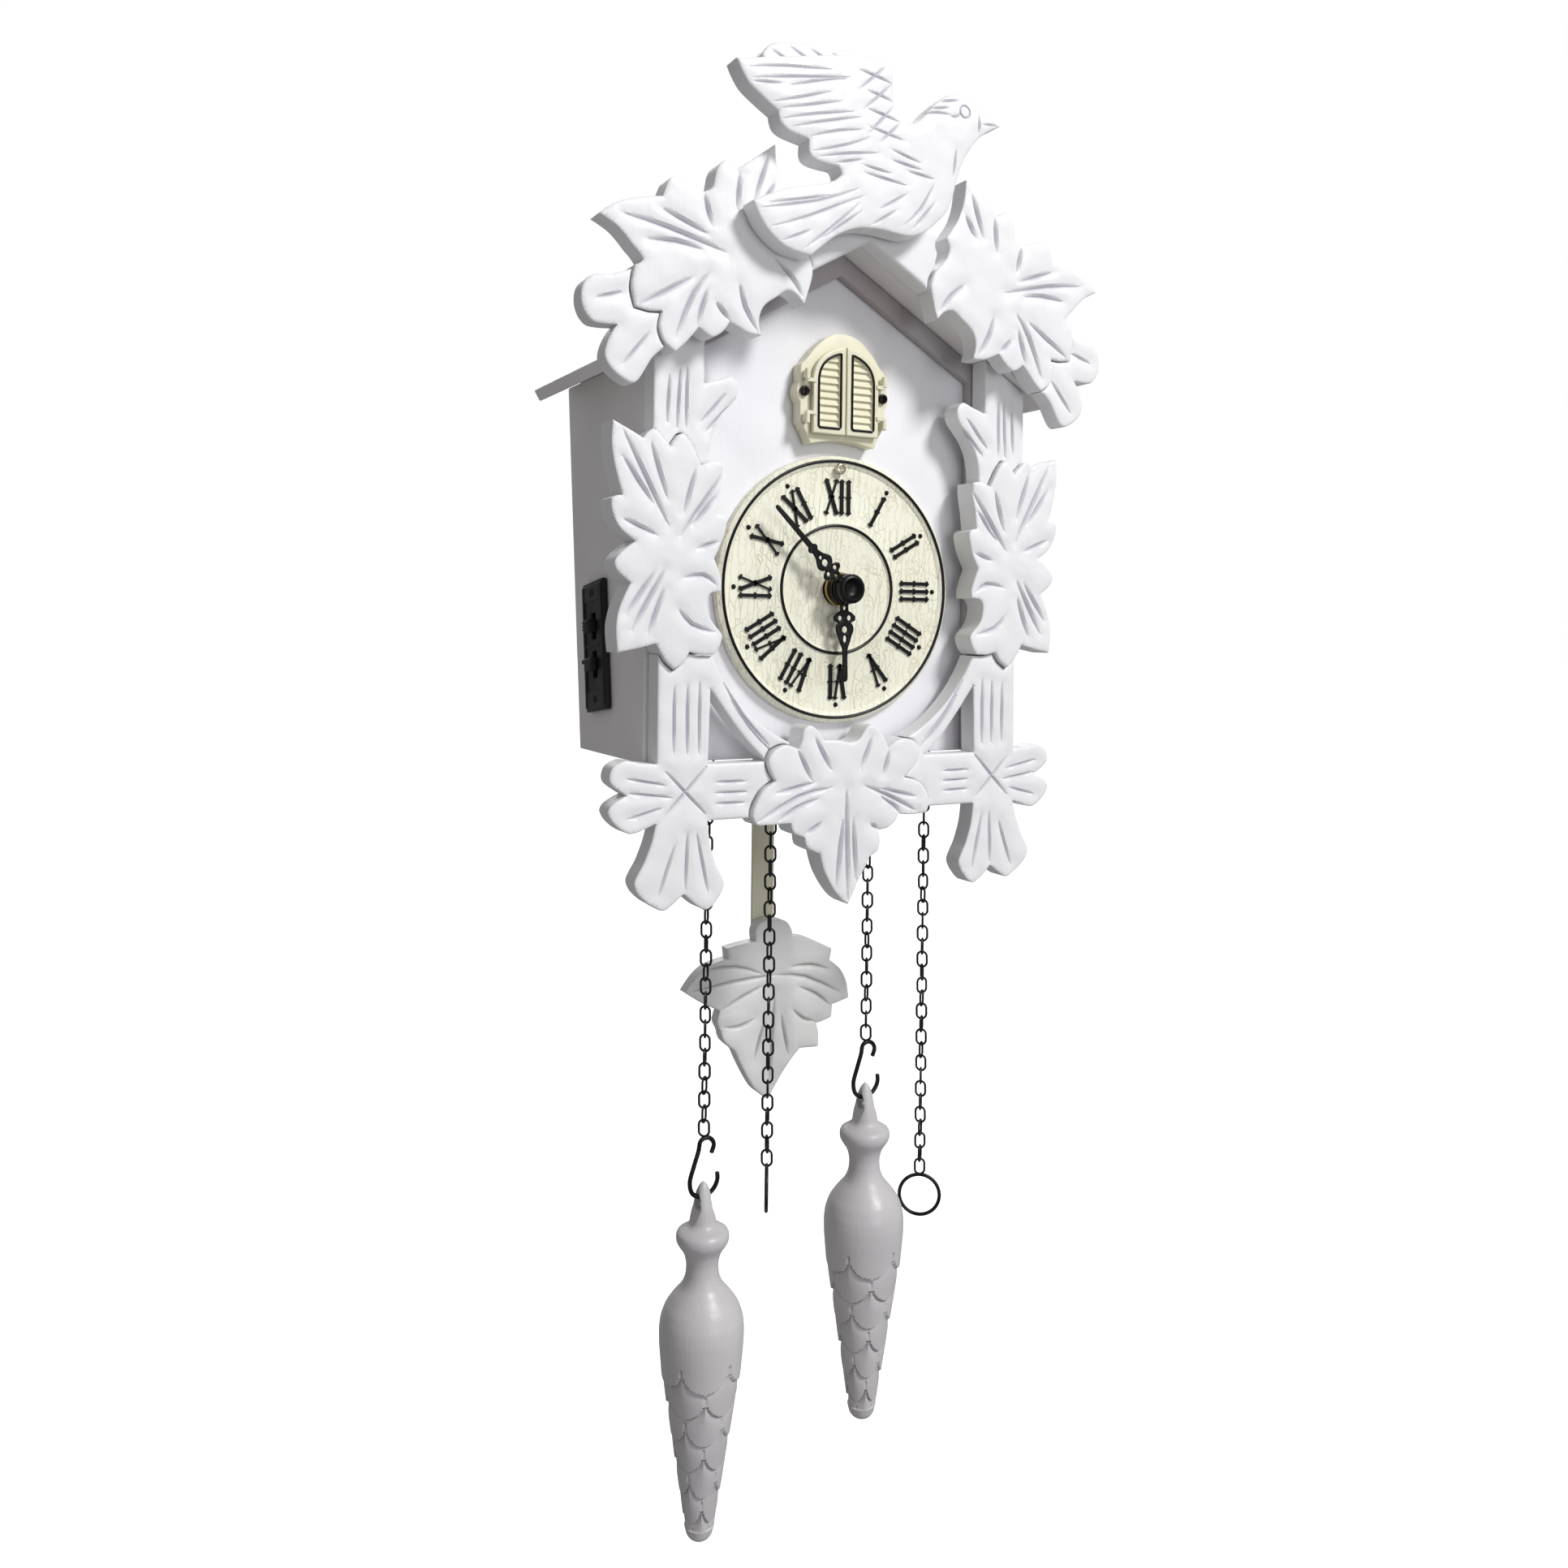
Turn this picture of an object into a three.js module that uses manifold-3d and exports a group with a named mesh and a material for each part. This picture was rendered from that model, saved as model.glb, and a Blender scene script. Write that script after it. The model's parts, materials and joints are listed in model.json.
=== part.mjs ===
// Wall cuckoo clock: a pitched-roof case with carved leaves and a bird, two chains
// with pine-cone weights, and a leaf pendulum. Millimetres, +Z up, front faces -Y.
// Shapes are laid out from the dial centre (X right, Y into the wall, Z up); the
// nested group then moves the origin to the wall face of the gable back board.
import * as THREE from 'three';
import { mergeVertices } from 'three/addons/utils/BufferGeometryUtils.js';
import Module from 'manifold-3d';

const wasm = await Module();
wasm.setup();

// ---- driving dimensions -------------------------------------------------------
const GAP = 0.3;              // clearance between touching pieces
const WALL_Y = 59.5;          // plane of the wall
const MOUNT_Z = 66;           // height of the wall mount above the dial centre
const CASE_HALF = 56;         // half of the case width
const BOARD = 3.2;            // side board thickness
const CASE_FRONT = 0;         // front edge of the side boards
const CASE_BOTTOM = -45;      // underside of the case
const BOTTOM_DEPTH = 46;      // rear edge of the side boards at the bottom
const ROOF_PITCH = Math.PI / 6;
const ROOF_APEX = 90.5;       // underside of the roof at the ridge
const ROOF_THICK = 3.4;
const ROOF_HALF = 64.5;       // half width to the lower eave corner
const ROOF_FRONT = -9;
const BOARD_FRONT = 3;        // face of the front board
const PLY = 2.6;              // front board, back cover and gable board thickness
const FRAME_FRONT = -7;       // face of the carved frame
const ROOF_CARVING_FRONT = -16;
const CHAIN_Y = 7.8;          // plane of both chains
const CHAIN_INNER_X = 15.5;
const CHAIN_OUTER_X = 34.3;
const CHAIN_R = 1.6;          // half width of a link
const CHAIN_TOP = 11;         // upper end of each fall inside the case
const WHEEL_Z = -30;
const PENDULUM_Z = 24;        // pendulum pivot height
const ROD_Y = 41.2;           // front of the pendulum rod
const DIAL_R = 36;
const MINUTE_ANGLE = 314.4;   // clockwise from twelve, degrees
const HOUR_ANGLE = 178.5;
const BACK_TILT = Math.atan2(WALL_Y - BOTTOM_DEPTH, 103);

// ---- colours --------------------------------------------------------------------
const material = (color, roughness, metalness = 0) =>
  new THREE.MeshStandardMaterial({ color, roughness, metalness });
const WHITE = () => material(0xf1f1f3, 0.45);
const SHADED = () => material(0xdcdbdb, 0.5);
const IVORY = () => material(0xefe9cf, 0.4);
const BLACK = () => material(0x111111, 0.35);
const STEEL = () => material(0x26241f, 0.35, 0.9);
const BRASS = () => material(0xb08a3c, 0.35, 0.9);
const GREEN = () => material(0x2f6b3c, 0.5);

const root = new THREE.Group();
const clock = new THREE.Group();
clock.position.set(0, -WALL_Y, -MOUNT_Z);
root.add(clock);

function add(name, geometry, finish) {
  const mesh = new THREE.Mesh(geometry, finish);
  mesh.name = name;
  clock.add(mesh);
  return mesh;
}

// ---- solid helpers ----------------------------------------------------------------
function toSolid(geometry) {
  const plain = geometry.clone();
  plain.deleteAttribute('normal');
  plain.deleteAttribute('uv');
  const merged = mergeVertices(plain, 1e-4);
  return new wasm.Manifold(new wasm.Mesh({
    numProp: 3,
    vertProperties: new Float32Array(merged.attributes.position.array),
    triVerts: new Uint32Array(merged.index.array),
  }));
}

function toGeometry(solid) {
  const mesh = solid.getMesh();
  const geometry = new THREE.BufferGeometry();
  geometry.setAttribute('position', new THREE.BufferAttribute(mesh.vertProperties, 3));
  geometry.setIndex(new THREE.BufferAttribute(mesh.triVerts, 1));
  geometry.computeVertexNormals();
  return geometry;
}

function join(...geometries) {
  return toGeometry(geometries.map(toSolid).reduce((a, b) => a.add(b)));
}

function cut(geometry, ...tools) {
  return toGeometry(tools.map(toSolid).reduce((a, b) => a.subtract(b), toSolid(geometry)));
}

function box(x0, x1, y0, y1, z0, z1) {
  const geometry = new THREE.BoxGeometry(x1 - x0, y1 - y0, z1 - z0);
  return geometry.translate((x0 + x1) / 2, (y0 + y1) / 2, (z0 + z1) / 2);
}

// A cylinder along X, Y or Z, from one end to the other, centred on the other two axes.
function rod(axis, radius, from, to, centre, sides = 24) {
  const geometry = new THREE.CylinderGeometry(radius, radius, to - from, sides);
  const middle = (from + to) / 2;
  if (axis === 'x') {
    return geometry.rotateZ(Math.PI / 2).translate(middle, centre[0], centre[1]);
  }
  if (axis === 'y') {
    return geometry.translate(centre[0], middle, centre[1]);
  }
  return geometry.rotateX(Math.PI / 2).translate(centre[0], centre[1], middle);
}

// An outline in X-Z, extruded from its front plane back by its thickness.
function plate(shape, front, thickness) {
  const settings = { depth: thickness, bevelEnabled: false, curveSegments: 10 };
  const geometry = new THREE.ExtrudeGeometry(shape, settings);
  return geometry.rotateX(Math.PI / 2).translate(0, front + thickness, 0);
}

function polygon(points) {
  return new THREE.Shape(points.map(([x, z]) => new THREE.Vector2(x, z)));
}

const mirror = (points) => points.map(([x, z, corner]) => [-x, z, corner]);
const shift = (points, dx, dz) => points.map(([x, z, corner]) => [x + dx, z + dz, corner]);

// A closed outline: a third value of 1 marks a sharp corner, and the points between
// two corners lie on one smooth curve. The first point is a corner.
function carved(points, steps = 2) {
  const loop = [...points, points[0]];
  const outline = [];
  let run = [new THREE.Vector2(loop[0][0], loop[0][1])];
  for (const [x, z, corner] of loop.slice(1)) {
    run.push(new THREE.Vector2(x, z));
    if (corner) {
      const curve = run.length > 2 ? new THREE.SplineCurve(run).getPoints((run.length - 1) * steps) : run;
      outline.push(...curve.slice(0, -1));
      run = [run[run.length - 1]];
    }
  }
  return new THREE.Shape(outline);
}

// The same outline grown by a margin about its middle, used to notch a neighbour.
function grown(points, margin) {
  const xs = points.map((p) => p[0]);
  const zs = points.map((p) => p[1]);
  const [cx, cz] = [(Math.min(...xs) + Math.max(...xs)) / 2, (Math.min(...zs) + Math.max(...zs)) / 2];
  const [kx, kz] = [
    1 + 2 * margin / (Math.max(...xs) - Math.min(...xs)),
    1 + 2 * margin / (Math.max(...zs) - Math.min(...zs)),
  ];
  return points.map(([x, z, corner]) => [cx + (x - cx) * kx, cz + (z - cz) * kz, corner]);
}

const roofUnder = (x) => ROOF_APEX - Math.abs(x) * Math.tan(ROOF_PITCH);
const backEdge = (z) => BOTTOM_DEPTH + (z - CASE_BOTTOM) * Math.tan(BACK_TILT);

// ---- case boards ------------------------------------------------------------------
const SIDE_TOP = roofUnder(CASE_HALF) - GAP;
const INNER = CASE_HALF - BOARD;

function sideBoard(side) {
  const outline = new THREE.Shape([
    new THREE.Vector2(CASE_FRONT, CASE_BOTTOM),
    new THREE.Vector2(backEdge(CASE_BOTTOM), CASE_BOTTOM),
    new THREE.Vector2(backEdge(SIDE_TOP), SIDE_TOP),
    new THREE.Vector2(CASE_FRONT, SIDE_TOP),
  ]);
  const settings = { depth: BOARD, bevelEnabled: false };
  const geometry = new THREE.ExtrudeGeometry(outline, settings);
  geometry.rotateX(Math.PI / 2).rotateZ(Math.PI / 2);
  return geometry.translate(side > 0 ? INNER : -CASE_HALF, 0, 0);
}

const SWITCH_Y = 31;
const SWITCH_Z = -16;
const SWITCH_LONG = 35;
const SWITCH_WIDE = 15;

// Local switch-plate coordinates: along the board's leaning rear edge.
function onSwitchPlate(geometry) {
  return geometry.rotateX(-BACK_TILT).translate(0, SWITCH_Y, SWITCH_Z);
}

const switchWindow = () => onSwitchPlate(box(-CASE_HALF - 1, -INNER + 1, -3.5, 3.5, -13, 13));
add('side_board_left', cut(sideBoard(-1), switchWindow()), SHADED());
add('side_board_right', sideBoard(1), SHADED());

function gableOutline(half, bottom, drop) {
  return polygon([
    [-half, bottom], [half, bottom], [half, roofUnder(half) - drop],
    [0, ROOF_APEX - drop], [-half, roofUnder(half) - drop],
  ]);
}

const BOARD_HALF = INNER - GAP;
const DOOR_SILL = 42.4;
const DOOR_SPRING = 56;       // height where the door arch starts
const DOOR_OPEN_HALF = 8.4;

function archOutline(half, bottom, spring, rise) {
  const shape = new THREE.Shape();
  shape.moveTo(-half, bottom);
  shape.lineTo(half, bottom);
  shape.lineTo(half, spring);
  shape.absellipse(0, spring, half, rise, 0, Math.PI, false, 0);
  shape.closePath();
  return shape;
}

const SLEEVE_HALF = DOOR_OPEN_HALF + 1.2;
add('front_board', cut(
  plate(gableOutline(BOARD_HALF, CASE_BOTTOM, GAP), BOARD_FRONT, PLY),
  plate(archOutline(SLEEVE_HALF + GAP, DOOR_SILL - 1.5, DOOR_SPRING, 7.7), BOARD_FRONT - 1, PLY + 2),
  rod('y', 4.5, BOARD_FRONT - 1, BOARD_FRONT + PLY + 1, [0, 0]),
), WHITE());

const CHAIN_XS = [-CHAIN_OUTER_X, -CHAIN_INNER_X, CHAIN_INNER_X, CHAIN_OUTER_X];
const FLOOR_TOP = CASE_BOTTOM + 3;
const NOTCH_HALF = 17;
add('bottom_board', cut(
  box(-BOARD_HALF, BOARD_HALF, BOARD_FRONT + PLY + GAP, 42.8, CASE_BOTTOM, FLOOR_TOP),
  box(-NOTCH_HALF, NOTCH_HALF, 35, 45, CASE_BOTTOM - 1, FLOOR_TOP + 1),
  ...CHAIN_XS.map((x) => box(x - 3, x + 3, BOARD_FRONT, CHAIN_Y + 3.4, CASE_BOTTOM - 1, FLOOR_TOP + 1)),
), SHADED());

const COVER_TOP = 50;
const coverLength = (COVER_TOP - GAP - CASE_BOTTOM) / Math.cos(BACK_TILT);
const soundSlots = [-6, 0, 6].map((z) => box(-44, -24, -PLY - 1, 1, 74 + z, 76 + z));
add('back_cover', cut(box(-BOARD_HALF, BOARD_HALF, -PLY, 0, 0.4, coverLength), ...soundSlots)
  .rotateX(-BACK_TILT).translate(0, BOTTOM_DEPTH, CASE_BOTTOM), SHADED());

const KEYHOLE_Z = 76;
add('gable_back_board', cut(
  plate(gableOutline(BOARD_HALF, COVER_TOP + GAP, GAP), WALL_Y - PLY, PLY),
  rod('y', 4, WALL_Y - PLY - 1, WALL_Y + 1, [0, KEYHOLE_Z]),
  box(-2, 2, WALL_Y - PLY - 1, WALL_Y + 1, KEYHOLE_Z, KEYHOLE_Z + 8),
), SHADED());

function roofBoard(side) {
  const [dx, dz] = [ROOF_THICK * Math.sin(ROOF_PITCH), ROOF_THICK * Math.cos(ROOF_PITCH)];
  const ridge = ROOF_APEX + ROOF_THICK / Math.cos(ROOF_PITCH);
  const split = 0.15;
  const outline = polygon([
    [side * split, roofUnder(split)],
    [side * ROOF_HALF, roofUnder(ROOF_HALF)],
    [side * (ROOF_HALF + dx), roofUnder(ROOF_HALF) + dz],
    [side * split, ridge - split * Math.tan(ROOF_PITCH)],
  ]);
  return plate(outline, ROOF_FRONT, WALL_Y - ROOF_FRONT);
}
add('roof_board_left', roofBoard(-1), SHADED());
add('roof_board_right', roofBoard(1), SHADED());

// A flat strip behind the carvings, up both sides and along under the roof.
const STRIP_IN = 42.7;
const strip = polygon([
  [-BOARD_HALF, CASE_BOTTOM], [-STRIP_IN, CASE_BOTTOM], [-STRIP_IN, roofUnder(STRIP_IN) - 6],
  [0, ROOF_APEX - 6], [STRIP_IN, roofUnder(STRIP_IN) - 6], [STRIP_IN, CASE_BOTTOM],
  [BOARD_HALF, CASE_BOTTOM], [BOARD_HALF, roofUnder(BOARD_HALF) - GAP],
  [0, ROOF_APEX - GAP], [-BOARD_HALF, roofUnder(BOARD_HALF) - GAP],
]);
add('spacer_strip', plate(strip, 0, BOARD_FRONT - GAP), WHITE());

// ---- carved front -----------------------------------------------------------------
const SIDE_LEAF = [
  [-68, 39, 1], [-64, 37.2], [-60.2, 35.2, 1], [-57.7, 37.7], [-55.2, 36], [-52.9, 33.7, 1],
  [-51.4, 36], [-49.5, 37.1], [-47.2, 34.6], [-45.7, 31.8], [-44.6, 29.7, 1], [-41.5, 30.8],
  [-38.6, 30.5, 1], [-38.7, 27], [-39.6, 22], [-40, 17.7, 1], [-38.2, 17.2], [-37.4, 15.4],
  [-38.5, 11.2], [-40.7, 6.6, 1], [-39.5, 3.6], [-38.6, 0.6], [-38.7, -1.7, 1], [-41.4, -2],
  [-42.5, -4.2], [-41.8, -8], [-40, -10.4], [-38.3, -12.6], [-39.2, -15.6], [-40.6, -17.3, 1],
  [-44, -17.4], [-47.2, -16.7, 1], [-48.7, -19.1], [-51.3, -21, 1], [-53.8, -18.7],
  [-56.3, -14.7, 1], [-61, -15.9], [-66.2, -16.9, 1], [-66.7, -10.6], [-65.4, -4.9],
  [-63, 0, 1], [-66.3, 2.6], [-67.2, 5.1], [-65, 7.8], [-61.8, 10.1, 1], [-65.4, 12.6],
  [-67.6, 16], [-68.2, 20.2], [-65.4, 21.1, 1], [-67.3, 27.5], [-68.3, 33.5],
];
const CENTRE_LEAF = [
  [-8.2, -39.8, 1], [-10.1, -37.4], [-12.3, -35.8], [-14.4, -36.9], [-15, -39.6],
  [-15.9, -41.8, 1], [-19.5, -40.7], [-23, -42], [-24.8, -44.6], [-23.9, -47.8],
  [-22.6, -49.8, 1], [-26.2, -52.2], [-28.4, -55.8], [-29, -58.9], [-27.5, -60.9, 1],
  [-22.5, -61], [-18, -60.9, 1], [-17.2, -63.4], [-13.7, -64.9, 1], [-13, -67.6],
  [-9.3, -69.4, 1], [-7.8, -74.2], [-5, -79], [-2.4, -82], [-0.3, -83.4, 1], [2, -78.8],
  [4.6, -74], [6.3, -71, 1], [8.6, -69.8], [9.3, -67], [8.9, -64.3, 1], [11.6, -63.9],
  [13.9, -62.4], [15.4, -60.4, 1], [20, -60.8], [24.2, -60.4, 1], [25, -57], [23, -53],
  [19.8, -51.2], [16.8, -50.5, 1], [19.8, -47.8], [21.7, -44.4], [20.4, -41.2], [16.8, -40],
  [13.6, -41], [11.7, -42.4, 1], [9.8, -38.9], [6.6, -36], [4.4, -37.2], [2.6, -39.6],
  [0, -40.6], [-4, -39.9],
];
const LEAF_BACK = -GAP;
const leafPlate = (points, front, back) => plate(carved(points), front, back - front);

const LOWER_FRAME = [
  [-55, -10, 1], [-55, -44.3, 1], [-59.5, -43.9], [-63.2, -43.2], [-66.6, -44.9],
  [-67.2, -48.2], [-64.8, -50.4], [-62.7, -51.7, 1], [-66, -53.3], [-67.7, -55.6],
  [-65.6, -58.8], [-62, -61], [-58.5, -60.3], [-55, -59, 1], [-56.2, -63.6], [-58.2, -68.6],
  [-60.6, -73.2], [-58.7, -76.9], [-55, -79.6], [-52.2, -80.4], [-47.3, -76.9, 1],
  [-44, -79.9], [-41, -81.3], [-38.3, -79.2], [-36.2, -75.2], [-38.4, -70.4],
  [-40.3, -64.6], [-41, -59, 1], [-17.9, -59, 1],
];
const BRACE_R = 44;           // inner edge of the braces, about the dial centre
const bracePoints = [0, 1, 2, 3, 4, 5, 6].map((i) => {
  const angle = THREE.MathUtils.degToRad(246 - i * 7);
  return [BRACE_R * Math.cos(angle), BRACE_R * Math.sin(angle)];
});
const RAIL_TOP = -44.8;
const TRIANGLE = [
  [-41.1, RAIL_TOP, 1], [-40.6, -26, 1], [-35.5, -33], [-30, -39.6], [-24.4, RAIL_TOP, 1],
];
const UPPER_FRAME = [
  [-57, 30, 1], [-57, 57.4, 1], [-43.4, roofUnder(43.4) - GAP, 1], [-43.4, 50.3, 1],
  [-39, 51.7], [-36, 52.7], [-33.9, 50.6], [-34.6, 47.2], [-38.2, 43], [-40.6, 38.4],
  [-41.6, 33], [-41.6, 28, 1],
];
const NOTCH = 0.5;

function lowerFrame(side) {
  const turn = (points) => (side < 0 ? points : mirror(points));
  const body = carved(turn([...LOWER_FRAME, ...bracePoints.map(([x, z]) => [x, z, 1]), [-40.2, -10, 1]]));
  body.holes.push(carved(turn(TRIANGLE)));
  return cut(
    plate(body, FRAME_FRONT, LEAF_BACK - FRAME_FRONT),
    leafPlate(grown(turn(SIDE_LEAF), NOTCH), FRAME_FRONT - 3, 1),
    box(side * 47.5 - 11, side * 47.5 + 11, -9, 1, -13, -5),
    leafPlate(grown(CENTRE_LEAF, NOTCH), FRAME_FRONT - 3, 1),
    box(-15, 12, -9, 1, -62, -36),
  );
}

function upperFrame(side) {
  const points = side < 0 ? UPPER_FRAME : mirror(UPPER_FRAME);
  const leaf = side < 0 ? SIDE_LEAF : mirror(SIDE_LEAF);
  return cut(
    plate(carved(points), FRAME_FRONT, LEAF_BACK - FRAME_FRONT),
    leafPlate(grown(leaf, NOTCH), FRAME_FRONT - 3, 1),
  );
}

add('frame_corner_left', lowerFrame(-1), WHITE());
add('frame_corner_right', lowerFrame(1), WHITE());
add('frame_branch_left', upperFrame(-1), WHITE());
add('frame_branch_right', upperFrame(1), WHITE());
const SIDE_LEAF_FRONT = -8.5;
add('side_leaf_left', leafPlate(SIDE_LEAF, SIDE_LEAF_FRONT, LEAF_BACK), WHITE());
add('side_leaf_right', leafPlate(mirror(SIDE_LEAF), SIDE_LEAF_FRONT, LEAF_BACK), WHITE());
add('centre_leaf', leafPlate(CENTRE_LEAF, SIDE_LEAF_FRONT, LEAF_BACK), WHITE());

// ---- roof carvings ----------------------------------------------------------------
const ROOF_LEAF = [
  [-75, 85.3, 1], [-71, 88.4], [-65, 90.7], [-59, 91.9, 1], [-57.9, 95.2], [-56.5, 96.8],
  [-52.5, 96.2], [-48.4, 94.8, 1], [-45.9, 96.2], [-45, 100.4], [-42.8, 103.3],
  [-39.6, 101.6, 1], [-34.5, 105.4], [-28.9, 109.7, 1], [-28.3, 104], [-26.4, 98.6],
  [-22.4, 93, 1], [-23.6, 90.6], [-22.6, 87.4], [-19.4, 83.8], [-17.8, 79], [-20.1, 71, 1],
  [-22.4, 73.2], [-25, 73.9], [-28, 71.9], [-31.5, 69.2], [-32.8, 65.6], [-32.1, 61.9, 1],
  [-35.5, 61.9], [-38.4, 63], [-40.8, 64.1, 1], [-42.7, 61.6], [-45.5, 59.9],
  [-47.9, 60.9], [-49.1, 61.9, 1], [-52.2, 58.2], [-55.3, 55.2, 1], [-58.2, 57.4],
  [-59.5, 61], [-58.8, 64.6, 1], [-62, 64.4], [-65.5, 64.9, 1], [-66.6, 69.6],
  [-65.8, 74.7, 1], [-63.8, 76.1], [-66.6, 79.2], [-70.4, 82.9],
];
const ROOF_TWIG = [
  [-63, 73.8, 1], [-66.4, 73.7], [-71.2, 72], [-76.2, 71], [-78.6, 68], [-78.5, 63.6],
  [-75.8, 60.2], [-69.8, 60.2, 1], [-71.6, 57.4], [-72.9, 53], [-70.9, 49.4], [-66.4, 46.9],
  [-63.9, 48.4], [-61, 53.2], [-57.4, 56.6, 1], [-55, 62, 1],
];
const STRIP_LOW = ROOF_APEX - 0.4;
const gableStrip = polygon([
  [-26, STRIP_LOW - 26 * Math.tan(ROOF_PITCH)], [0, STRIP_LOW],
  [26, STRIP_LOW - 26 * Math.tan(ROOF_PITCH)],
  [26, 94], [0, 101.5], [-26, 94],
]);
const CARVING_BACK = ROOF_FRONT - GAP;
const ROOF_LEAF_RIGHT = shift(mirror(ROOF_LEAF), 0.6, 1.2);
const ROOF_TWIG_RIGHT = shift(mirror(ROOF_TWIG), -1.2, 0.4);
const leafTool = (points) => leafPlate(grown(points, NOTCH), ROOF_CARVING_FRONT - 1, CARVING_BACK + 1);
const TWIG_FRONT = ROOF_CARVING_FRONT + 0.8;
add('gable_strip', cut(
  plate(gableStrip, ROOF_CARVING_FRONT + 0.9, CARVING_BACK - ROOF_CARVING_FRONT - 0.9),
  leafTool(ROOF_LEAF), leafTool(ROOF_LEAF_RIGHT),
  box(-40, -20.5, -20, 0, 70, 110), box(20.5, 40, -20, 0, 70, 110),
), WHITE());
add('roof_leaf_left', leafPlate(ROOF_LEAF, ROOF_CARVING_FRONT, CARVING_BACK), WHITE());
add('roof_leaf_right', leafPlate(ROOF_LEAF_RIGHT, ROOF_CARVING_FRONT, CARVING_BACK), WHITE());
add('roof_twig_left', cut(leafPlate(ROOF_TWIG, TWIG_FRONT, CARVING_BACK), leafTool(ROOF_LEAF)), WHITE());
add('roof_twig_right', cut(
  leafPlate(ROOF_TWIG_RIGHT, TWIG_FRONT, CARVING_BACK), leafTool(ROOF_LEAF_RIGHT),
), WHITE());

const BIRD = [
  [35.7, 124.4, 1], [32, 125.6], [29.3, 126.3, 1], [26, 128.8], [22, 129.8], [18, 128.9],
  [14, 125.8], [10.6, 122], [7.4, 119.7], [4.6, 119.6], [2.3, 121.6], [1.4, 126], [1.2, 131],
  [0, 133.1], [-4, 133.9], [-12, 133.1], [-22, 130.8], [-33, 128.2], [-43.2, 125.7, 1],
  [-39.8, 120.4], [-31.8, 115.3, 1], [-31, 112.6], [-28.5, 111], [-23, 110, 1], [-23, 106.8],
  [-20.8, 105.2], [-14.6, 104.7, 1], [-13.6, 102.9], [-17, 100.4], [-24, 98.4], [-30.5, 96.4],
  [-38.3, 92.5, 1], [-36.3, 88.4], [-33, 84.9], [-28.5, 82.3], [-22.2, 81.4, 1], [-19, 84.2],
  [-14, 88], [-8, 90.4], [-1, 90.9], [6, 90.5], [11, 92], [15.6, 95.7], [19.2, 100],
  [21.2, 106], [22.6, 110.6], [25.2, 115.6], [29.2, 120.4],
];
const BIRD_FRONT = -22.8;
const BIRD_BACK = ROOF_CARVING_FRONT - GAP;
add('bird', leafPlate(BIRD, BIRD_FRONT, BIRD_BACK), WHITE());
const REAR_WING = [
  [-33, 131.2, 1], [-30, 134.6], [-23.5, 136.1], [-14, 137], [-4, 137.3], [1, 135.4],
  [1.6, 130], [-2, 122, 1], [-5, 113], [-12, 108.5, 1], [-19, 116], [-27, 124],
];
add('bird_rear_wing', leafPlate(REAR_WING, BIRD_BACK + GAP, -11), WHITE());

// ---- dial and hands ---------------------------------------------------------------
const DIAL_BACK = BOARD_FRONT - GAP;
const DIAL_FRONT = -0.3;
const SCREW_HEAD_Y = DIAL_FRONT - GAP;
add('dial', cut(
  rod('y', DIAL_R, DIAL_FRONT, DIAL_BACK, [0, 0], 72),
  rod('y', 4.4, DIAL_FRONT - 1, DIAL_BACK + 1, [0, 0]),
), IVORY());
add('dial_screw', rod('y', 1.5, SCREW_HEAD_Y - 0.7, SCREW_HEAD_Y, [0, 32.4], 16), BRASS());

const NUT_FRONT = -2.7;
const HOUR_Y = -3.6;
const MINUTE_Y = -5.1;
const HAND_THICK = 0.8;
add('dial_nut', cut(
  rod('y', 4.6, NUT_FRONT, DIAL_FRONT - GAP, [0, 0]),
  rod('y', 3.8, NUT_FRONT - 1, 1, [0, 0]),
), BRASS());

function hand(length, front, boss, bore, angle) {
  const blade = polygon([[-1.7, 2], [1.7, 2], [1.7, length * 0.45], [0.55, length], [-0.55, length],
    [-1.7, length * 0.45]]);
  const solid = cut(
    join(plate(blade, front, HAND_THICK), rod('y', boss, front, front + HAND_THICK, [0, 0])),
    rod('y', bore, front - 1, front + 2, [0, 0], 16),
  );
  return solid.rotateY(THREE.MathUtils.degToRad(angle));
}
add('hour_hand', hand(24.6, HOUR_Y, 4.2, 2.6, HOUR_ANGLE), BLACK());
add('minute_hand', hand(30, MINUTE_Y, 4.2, 1.6, MINUTE_ANGLE), BLACK());
add('hub_cap', rod('y', 3.9, -8, MINUTE_Y - GAP, [0, 0]), BLACK());

// ---- movement, batteries, electronics -----------------------------------------------
const MOVEMENT_FRONT = 11;
const MOVEMENT_BACK = 26;
const DRIVE_BACK = 38;
add('movement', join(
  box(-27, 27, MOVEMENT_FRONT, MOVEMENT_BACK, -16, 36),
  rod('y', 3.5, NUT_FRONT + 0.2, MOVEMENT_FRONT + 1, [0, 0]),
  rod('y', 2.3, HOUR_Y + 0.1, MOVEMENT_FRONT + 1, [0, 0], 16),
  rod('y', 1.3, MINUTE_Y + 0.1, MOVEMENT_FRONT + 1, [0, 0], 16),
), BLACK());
add('pendulum_drive', join(
  box(-9, 9, MOVEMENT_BACK + GAP, DRIVE_BACK, PENDULUM_Z - 10, PENDULUM_Z + 10),
  rod('y', 1, DRIVE_BACK - 1, ROD_Y + 2.6, [0, PENDULUM_Z], 16),
), BLACK());

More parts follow.
